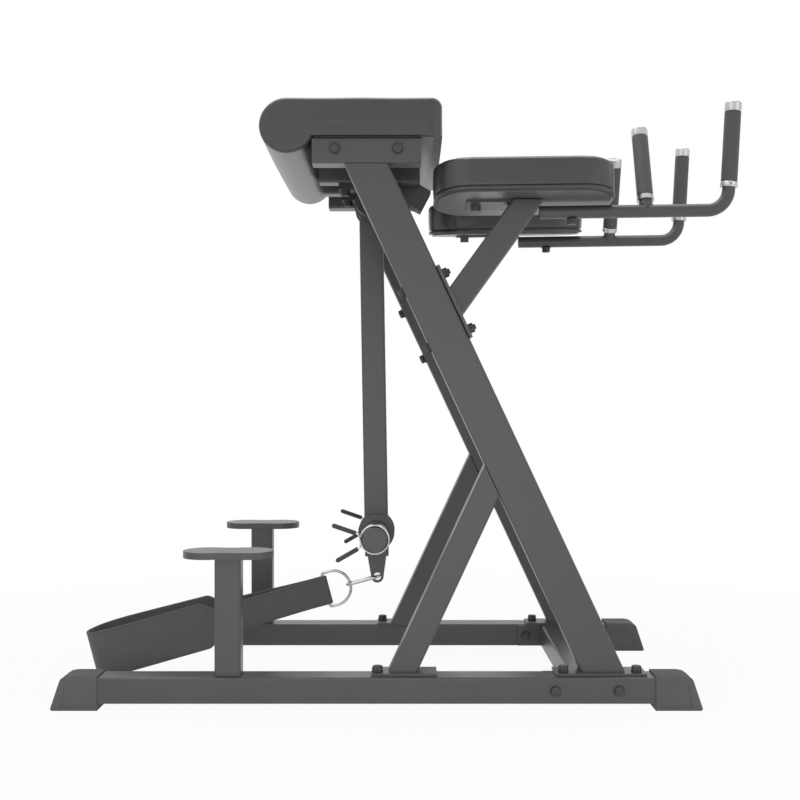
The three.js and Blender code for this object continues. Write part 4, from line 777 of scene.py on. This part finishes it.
def collar_line(side_y):
    """The collar's wire: a helix round the horn, with a straight arm at each end of its sweep."""
    radius, pitch, upper, lower, turns = 28.0, 5.0, 160.0, 209.0, 3
    sweep = lower - upper + 360.0 * turns
    rise = pitch * sweep / 360.0
    share = np.linspace(0.0, 1.0, 39)[1:-1]
    angle = np.radians(upper + sweep * share)
    reach = np.array([88.0, 58.0, 38.5, 35.0])
    radii = np.r_[reach, np.full(len(share), radius), reach[::-1]]
    angle = np.r_[np.full(4, math.radians(upper)), angle, np.full(4, math.radians(lower))]
    along = rise * (np.r_[np.zeros(4), share, np.ones(4)] - 0.5)
    points = on_pendulum(np.c_[radii * np.cos(angle), along, radii * np.sin(angle)], side_y)
    return points, {"upper": (angle[0], along[0]), "lower": (angle[-1], along[-1])}


class MACHINE_OT_weight_horns(bpy.types.Operator):
    """Build the weight horns, the spring collars on them and the collars' grips"""

    bl_idname = "machine.weight_horns"
    bl_label = "Weight horns and collars"

    def execute(self, context):
        wire_radius, grip_start, grip_radius, grip_length = 2.0, 39.3, 4.6, 51.0
        # Radius and distance along: the root flange, its weld, the sleeve, its round edge and the end cap
        horn = np.r_[
            [[8.0, 0.0], [38.0, 0.0], [38.5, 0.6], [38.5, 5.4], [38.0, 6.0], [27.5, 6.0], [26.2, 6.6],
             [25.2, 8.2], [25.0, 10.0], [25.0, 160.0]],
            quarter_round((23.8, 160.6), (1.2, 1.4), 6),
            [[23.2, 162.0], [22.9, 161.5], [22.6, 161.5], [8.0, 161.6]]]
        grip = np.r_[
            [[2.2, 0.0], [4.1, 0.0], [4.6, 0.6], [4.6, 3.0], [4.35, 3.6], [4.6, 4.2], [4.6, 46.4]],
            quarter_round((0.0, grip_length - grip_radius), (grip_radius, grip_radius), 8)[1:-1]]
        for name, side in SIDES:
            root = on_pendulum([0.0, side * HORN_ROOT, 0.0], 0.0)
            sleeve = turned_rings(horn, root, (0, side, 0), 64)
            skin(f"horn_sleeve_{name}", sleeve, "pendulum", "frame_paint", sharp=32.0,
                 stands_for=f"weight_horn_{name}")
            points, arms = collar_line(side * COLLAR_Y)
            wire = tube_rings(smooth_path(points, 420), wire_radius, Y_AXIS, 12)
            skin(f"collar_wire_{name}", wire, f"collar_{name}", "spring_steel",
                 stands_for=f"spring_collar_{name}")
            for level, (angle, y) in arms.items():
                way = np.array([math.cos(angle), 0.0, math.sin(angle)])
                base, tip = on_pendulum(
                    [way * reach + (0.0, y, 0.0) for reach in (grip_start, grip_start + grip_length)],
                    side * COLLAR_Y)
                cover = turned_rings(grip, base, tip - base, 24)
                skin(f"{level}_collar_sleeve_{name}", cover, f"collar_{name}", "grip_rubber",
                     "collar_rubber", sharp=35.0, stands_for=f"{level}_collar_grip_{name}")
        return {"FINISHED"}


def bar_height(x):
    """Height of the handle bar's middle line, which rises a little forwards."""
    return BAR_Z + (x - BAR_START) * math.tan(BAR_PITCH)


def handle_path():
    """The handle bar's middle line: a run under the pad, one bend, and an end that leans forwards."""
    from_end = 6.0
    run = np.linspace(BAR_START + from_end, BEND_X, 12)
    a = np.linspace(BAR_PITCH - QUARTER, -BAR_LEAN, 28)[1:]
    bend_x = BEND_X + BEND_RADIUS * np.cos(a)
    bend_z = bar_height(BEND_X) + BEND_RADIUS + BEND_RADIUS * np.sin(a)
    rise = np.linspace(0.0, GRIP_SPAN + BEND_STUB, 8)[1:]
    x = np.r_[run, bend_x, bend_x[-1] + rise * math.sin(BAR_LEAN)]
    z = np.r_[bar_height(run), bend_z, bend_z[-1] + rise * math.cos(BAR_LEAN)]
    return np.c_[x, np.full(len(x), -BAR_SIDE), z]


class MACHINE_OT_handles(bpy.types.Operator):
    """Build the handle bars, their uprights, rubber grips and aluminium collars and caps"""

    bl_idname = "machine.handles"
    bl_label = "Handles"

    # Radius and distance from the upright's end, along its lean
    rubber = np.array([
        [14.4, -154.0], [15.2, -154.0], [15.8, -153.5], [16.0, -152.6], [16.0, -148.0], [16.0, -80.0],
        [16.0, -22.0], [16.0, -17.4], [15.8, -16.5], [15.2, -16.0], [14.4, -16.0]])
    cap = np.r_[
        [[12.9, -15.7], [15.6, -15.7], [16.3, -15.2], [16.3, -13.0], [16.0, -12.6], [16.0, -11.8],
         [16.4, -11.4], [16.4, -0.2]],
        quarter_round((14.2, -0.2), (2.2, 3.2), 6), [[12.0, 3.0], [11.5, 2.3], [4.0, 2.3]]]
    collar = np.array([
        [12.9, -164.6], [16.0, -164.6], [17.0, -163.6], [17.0, -162.4], [16.6, -162.0], [17.0, -161.6],
        [17.0, -155.4], [16.2, -154.4], [12.9, -154.4]])
    set_screw = np.array([[2.4, 0.0], [2.4, 1.5], [2.1, 1.8], [1.3, 1.8], [1.2, 1.0]])

    def execute(self, context):
        path = handle_path()
        foot = np.array([UPRIGHT_X, -BAR_SIDE, bar_height(UPRIGHT_X)])
        lean = np.array([0.0, math.sin(UPRIGHT_LEAN), math.cos(UPRIGHT_LEAN)])
        top = foot + (GRIP_SPAN + UPRIGHT_STUB) * lean
        rise = np.array([math.sin(BAR_LEAN), 0.0, math.cos(BAR_LEAN)])
        # Distance up the stem and its radius: a weld at the foot, then plain tube
        stem = np.array([
            [2.0, 13.4], [9.0, 13.4], [13.5, 13.6], [15.0, 13.1], [18.0, BAR_RADIUS], [60.0, BAR_RADIUS],
            [186.0, BAR_RADIUS]])
        for name, side in SIDES:
            bar = tube_rings(with_side(path, side), BAR_RADIUS, Y_AXIS, 36)
            skin(f"handle_tube_{name}", bar, "frame", "frame_paint", stands_for=f"handle_bar_{name}")
            upright = tube_rings(with_side(foot + stem[:, :1] * lean, side), stem[:, 1], X_AXIS, 32)
            skin(f"upright_tube_{name}", upright, "frame", "frame_paint")
            self.grip(f"outer_{{}}_{name}", with_side(path[-1], side), rise, np.array([0.0, side, 0.0]))
            way = with_side(lean, side)
            self.grip(f"inner_{{}}_{name}", with_side(top, side), way, -unit(np.cross(X_AXIS, way)))
        return {"FINISHED"}

    def grip(self, name, end, way, outwards):
        """One upright's rubber, cap, collar and the collar's set screw, which faces outwards."""
        screw_drop, screw_reach = 158.6, 15.4
        for part, profile, slot, sharp, node in (
                ("rubber", self.rubber, "grip_rubber", 50.0, name.format("grip")),
                ("cap", self.cap, "grip_aluminium", 35.0, name.format("grip_sleeve")),
                ("collar", self.collar, "grip_aluminium", 35.0, None)):
            rings = turned_rings(profile, end, way, 48)
            skin(name.format(part), rings, "frame", slot, sharp=sharp, stands_for=node)
        seat = end - screw_drop * way + screw_reach * outwards
        screw = turned_rings(self.set_screw, seat, outwards, 16)
        skin(name.format("set_screw"), screw, "frame", "grip_aluminium", "bolt_black")


def hexagon_rows(across, height, crown):
    """A hexagon head with a chamfered crown: radii and heights of flats that melt into a circle."""
    chamfer, angle = 0.3, np.linspace(0.0, 2.0 * math.pi, 48, endpoint=False)
    least = across / 2 * math.cos(math.pi / 6)
    flat = least / np.cos((angle % (math.pi / 3)) - math.pi / 6)
    inner = np.full(48, least - chamfer)
    rows = (
        (flat, 0.0), (flat, height - 1.6), (np.minimum(flat, inner + 0.9), height - 0.7), (inner, height),
        (inner * 0.62, height + crown * 0.7), (inner * 0.2, height + crown))
    return [(radius[:, None], z) for radius, z in rows], np.cos(angle)[:, None], np.sin(angle)[:, None]


class MACHINE_OT_fasteners(bpy.types.Operator):
    """Build the bolt heads, nuts and washers over the plain ones of the solids"""

    bl_idname = "machine.fasteners"
    bl_label = "Fasteners"

    def fit(self, name, seat, way, height, stub=0.0):
        """A washer and a head or nut on a seat, with the end of its thread where it shows."""
        washer, across, crown = 2.2, 19.8, 0.8
        way = unit(way)
        side, other = square_to(way)
        disc = [[6.0, -0.2], [10.3, -0.2], [10.7, 0.3], [10.7, washer - 0.4], [10.3, washer], [6.0, washer]]
        skin(f"washer_{name}", turned_rings(disc, seat, way, 40), "frame", "frame_paint", "bolt_black")
        rows, along, beside = hexagon_rows(across, height, crown)
        head = [seat + radius * (along * side + beside * other) + (z + washer) * way for radius, z in rows]
        skin(f"bolt_{name}", head, "frame", "frame_paint", "bolt_black", sharp=25.0)
        if stub:
            top = washer + height + stub
            end = [[5.3, washer + height - 1.0], [5.3, top - 1.0], [4.6, top - 0.3], [3.0, top]]
            skin(f"thread_{name}", turned_rings(end, seat, way, 24), "frame", "frame_paint", "bolt_black",
                 sharp=35.0)

    def execute(self, context):
        head, nut, support_head, support_stub, bracket = 4.8, 9.3, 7.8, 4.3, 6.0
        plate_y, plate_top, rail_under, support_z, support_bolt = 270.0, 67.3, 12.0, 757.0, 58.8
        handle_bolt_x, bar_under, seat_gap = 332.0, 12.4, 0.3
        # The dome of each plate bolt under its rail
        dome = [[9.4, 0.2], [9.4, -0.6], [8.2, -1.8], [5.6, -2.8], [2.0, -3.2]]
        axis = np.array([-math.sin(POST_LEAN), 0.0, math.cos(POST_LEAN)])
        front = np.array([math.cos(POST_LEAN), 0.0, math.sin(POST_LEAN)])
        post_seat = POST_FACE / 2 + seat_gap
        support_along = (support_z - POST_MIDDLE[2]) / math.cos(POST_LEAN)
        # Heads and nuts across a wall: their names, places along and up, and distances from the middle
        across = (
            ("rail", "cross", (288.0, 408.0), 37.0, 300.0, 235.7),
            ("beam", "tie", (-130.0, -10.0), 1066.0, 278.0, 223.7))
        for name, side in SIDES:
            for outer, inner, places, z, outer_y, inner_y in across:
                for index, x in enumerate(places):
                    self.fit(f"{outer}_{index}_{name}", (x, side * outer_y, z), (0, side, 0), head)
                    self.fit(f"{inner}_{index}_{name}", (x, side * inner_y, z), (0, -side, 0), nut)
            for index, x in enumerate((306.3, 446.3, -48.5)):
                self.fit(f"plate_{index}_{name}", (x, side * plate_y, plate_top), Z_AXIS, nut)
                under = turned_rings(dome, (x, side * plate_y, rail_under), Z_AXIS, 32)
                skin(f"dome_{index}_{name}", under, "frame", "frame_paint", "bolt_black")
            for index, along in enumerate((support_along - support_bolt, support_along + support_bolt)):
                place = with_side(POST_MIDDLE + axis * along, side)
                seat = place + front * (post_seat + bracket)
                self.fit(f"support_nut_{index}_{name}", seat, front, nut, support_stub)
                self.fit(f"support_head_{index}_{name}", place - front * post_seat, -front, support_head)
            under_bar = (handle_bolt_x, side * BAR_SIDE, bar_height(handle_bolt_x) - bar_under)
            self.fit(f"handle_{name}", under_bar, -Z_AXIS, nut)
        return {"FINISHED"}


class MACHINE_OT_stage(bpy.types.Operator):
    """Set the floor, light and camera"""

    bl_idname = "machine.stage"
    bl_label = "Stage"

    # Name, place, width and depth, and power in watts
    lamps = (
        ("key", (-1.6, -2.6, 2.6), (2.2, 2.2), 8.0), ("fill", (2.6, -2.2, 1.0), (2.0, 2.0), 8.0),
        ("back", (0.4, 2.6, 3.0), (2.4, 2.4), 4.0), ("low", (-0.3, -2.9, 0.3), (1.8, 1.8), 10.0),
        ("over", (0.0, 0.1, 2.7), (2.6, 1.0), 24.0), ("strip", (0.0, -1.3, 0.22), (2.4, 0.35), 5.2))
    aim_height, strip_aim_height = 0.6, 0.1
    film_width, shift_x, shift_y = 36.0, -0.00375, 0.008125

    def execute(self, context):
        stage = context.scene.machine_stage
        self.floor(context.scene)
        self.sky(context.scene, stage.sky)
        for name, place, size, power in self.lamps:
            self.lamp(context.scene, name, np.array(place), size, power * stage.lamps)
        camera = bpy.data.objects.new("camera", bpy.data.cameras.new("camera"))
        context.scene.collection.objects.link(camera)
        camera.data.lens = stage.lens
        camera.data.sensor_width = self.film_width
        camera.data.shift_x = self.shift_x
        camera.data.shift_y = self.shift_y
        camera.location = (DATUM[0] * MM, -stage.distance, stage.height)
        camera.rotation_euler = (QUARTER, 0.0, 0.0)
        context.scene.camera = camera
        context.scene.view_settings.view_transform = "Standard"
        return {"FINISHED"}

    def floor(self, scene):
        """A pale disc whose outer part turns into the white of the background."""
        radius, corners, white_share = 9.0, 96, 0.94
        points = radius * circle(X_AXIS, Y_AXIS, corners)
        mesh = bpy.data.meshes.new("floor")
        mesh.from_pydata(points.tolist(), [], [list(range(corners))])
        floor = bpy.data.objects.new("floor", mesh)
        scene.collection.objects.link(floor)
        pale = Recipe("floor", {"Base Color": (0.93, 0.93, 0.93, 1.0), "Specular IOR Level": 0.0})
        pale.set("Roughness", 0.85 + 0.1 * pale.noise(40.0))
        reach = pale.add("ShaderNodeVectorMath", {"operation": "LENGTH"}, {0: pale.place()}, out="Value")
        far = pale.add("ShaderNodeMapRange", {"interpolation_type": "SMOOTHSTEP"}, {
            "Value": reach, "From Min": 0.9, "From Max": 1.9})
        white = pale.add("ShaderNodeEmission", sockets={"Color": WHITE, "Strength": 1.0})
        mixed = pale.add("ShaderNodeMixShader", sockets={
            0: (white_share + (1.0 - white_share) * far) * pale.seen(),
            1: Wire(pale, pale.shader.outputs[0]), 2: white})
        pale.feed(pale.output.inputs[0], mixed)
        mesh.materials.append(pale.material)

    def sky(self, scene, strength):
        """Even light on the object, and plain white where the camera or a bright metal sees it."""
        world = bpy.data.worlds.new("studio")
        nodes = Nodes(world)
        even = nodes.add("ShaderNodeBackground", sockets={"Color": WHITE, "Strength": strength})
        white = nodes.add("ShaderNodeBackground", sockets={"Color": WHITE, "Strength": 1.0})
        mixed = nodes.add("ShaderNodeMixShader", sockets={0: nodes.seen(), 1: even, 2: white})
        nodes.feed(nodes.tree.nodes.new("ShaderNodeOutputWorld").inputs[0], mixed)
        scene.world = world

    def lamp(self, scene, name, place, size, power):
        """One soft lamp, turned to a point above the machine's middle, which the camera doesn't see."""
        strip = name == "strip"
        light = bpy.data.lights.new(name, "AREA")
        light.energy = power
        light.shape = "RECTANGLE"
        light.size, light.size_y = size
        lamp = bpy.data.objects.new(name, light)
        scene.collection.objects.link(lamp)
        lamp.location = place
        lamp.visible_camera = False
        lamp.visible_glossy = not strip
        aim = (self.strip_aim_height if strip else self.aim_height) * Z_AXIS - place
        lamp.rotation_euler = (
            math.atan2(math.hypot(aim[0], aim[1]), -aim[2]), 0.0, math.atan2(aim[0], -aim[1]) + math.pi)


ORDER = (
    MACHINE_OT_frame_finish, MACHINE_OT_torso_cushion, MACHINE_OT_forearm_cushions, MACHINE_OT_ankle_strap,
    MACHINE_OT_link_wires, MACHINE_OT_weight_horns, MACHINE_OT_handles, MACHINE_OT_fasteners,
    MACHINE_OT_stage,
)
SETTINGS = {
    "machine_finish": MachineFinishSettings, "machine_pad": MachinePadSettings,
    "machine_strap": MachineStrapSettings, "machine_stage": MachineStageSettings,
}


class MACHINE_PT_sidebar(bpy.types.Panel):
    """Lists the steps and their settings"""

    bl_idname = "MACHINE_PT_sidebar"
    bl_label = "Machine"
    bl_space_type = "VIEW_3D"
    bl_region_type = "UI"
    bl_category = "Machine"

    def draw(self, context):
        for operator in ORDER:
            self.layout.operator(operator.bl_idname)
        for key, group in SETTINGS.items():
            box = self.layout.box()
            for setting in group.__annotations__:
                box.prop(getattr(context.scene, key), setting)


def register():
    for group in (*SETTINGS.values(), *ORDER, MACHINE_PT_sidebar):
        bpy.utils.register_class(group)
    for key, group in SETTINGS.items():
        setattr(bpy.types.Scene, key, bpy.props.PointerProperty(type=group))


def unregister():
    for key in SETTINGS:
        delattr(bpy.types.Scene, key)
    for group in (MACHINE_PT_sidebar, *reversed(ORDER), *SETTINGS.values()):
        bpy.utils.unregister_class(group)


def main():
    register()
    for operator in ORDER:
        family, step = operator.bl_idname.split(".")
        getattr(getattr(bpy.ops, family), step)()


if __name__ == "__main__":
    main()
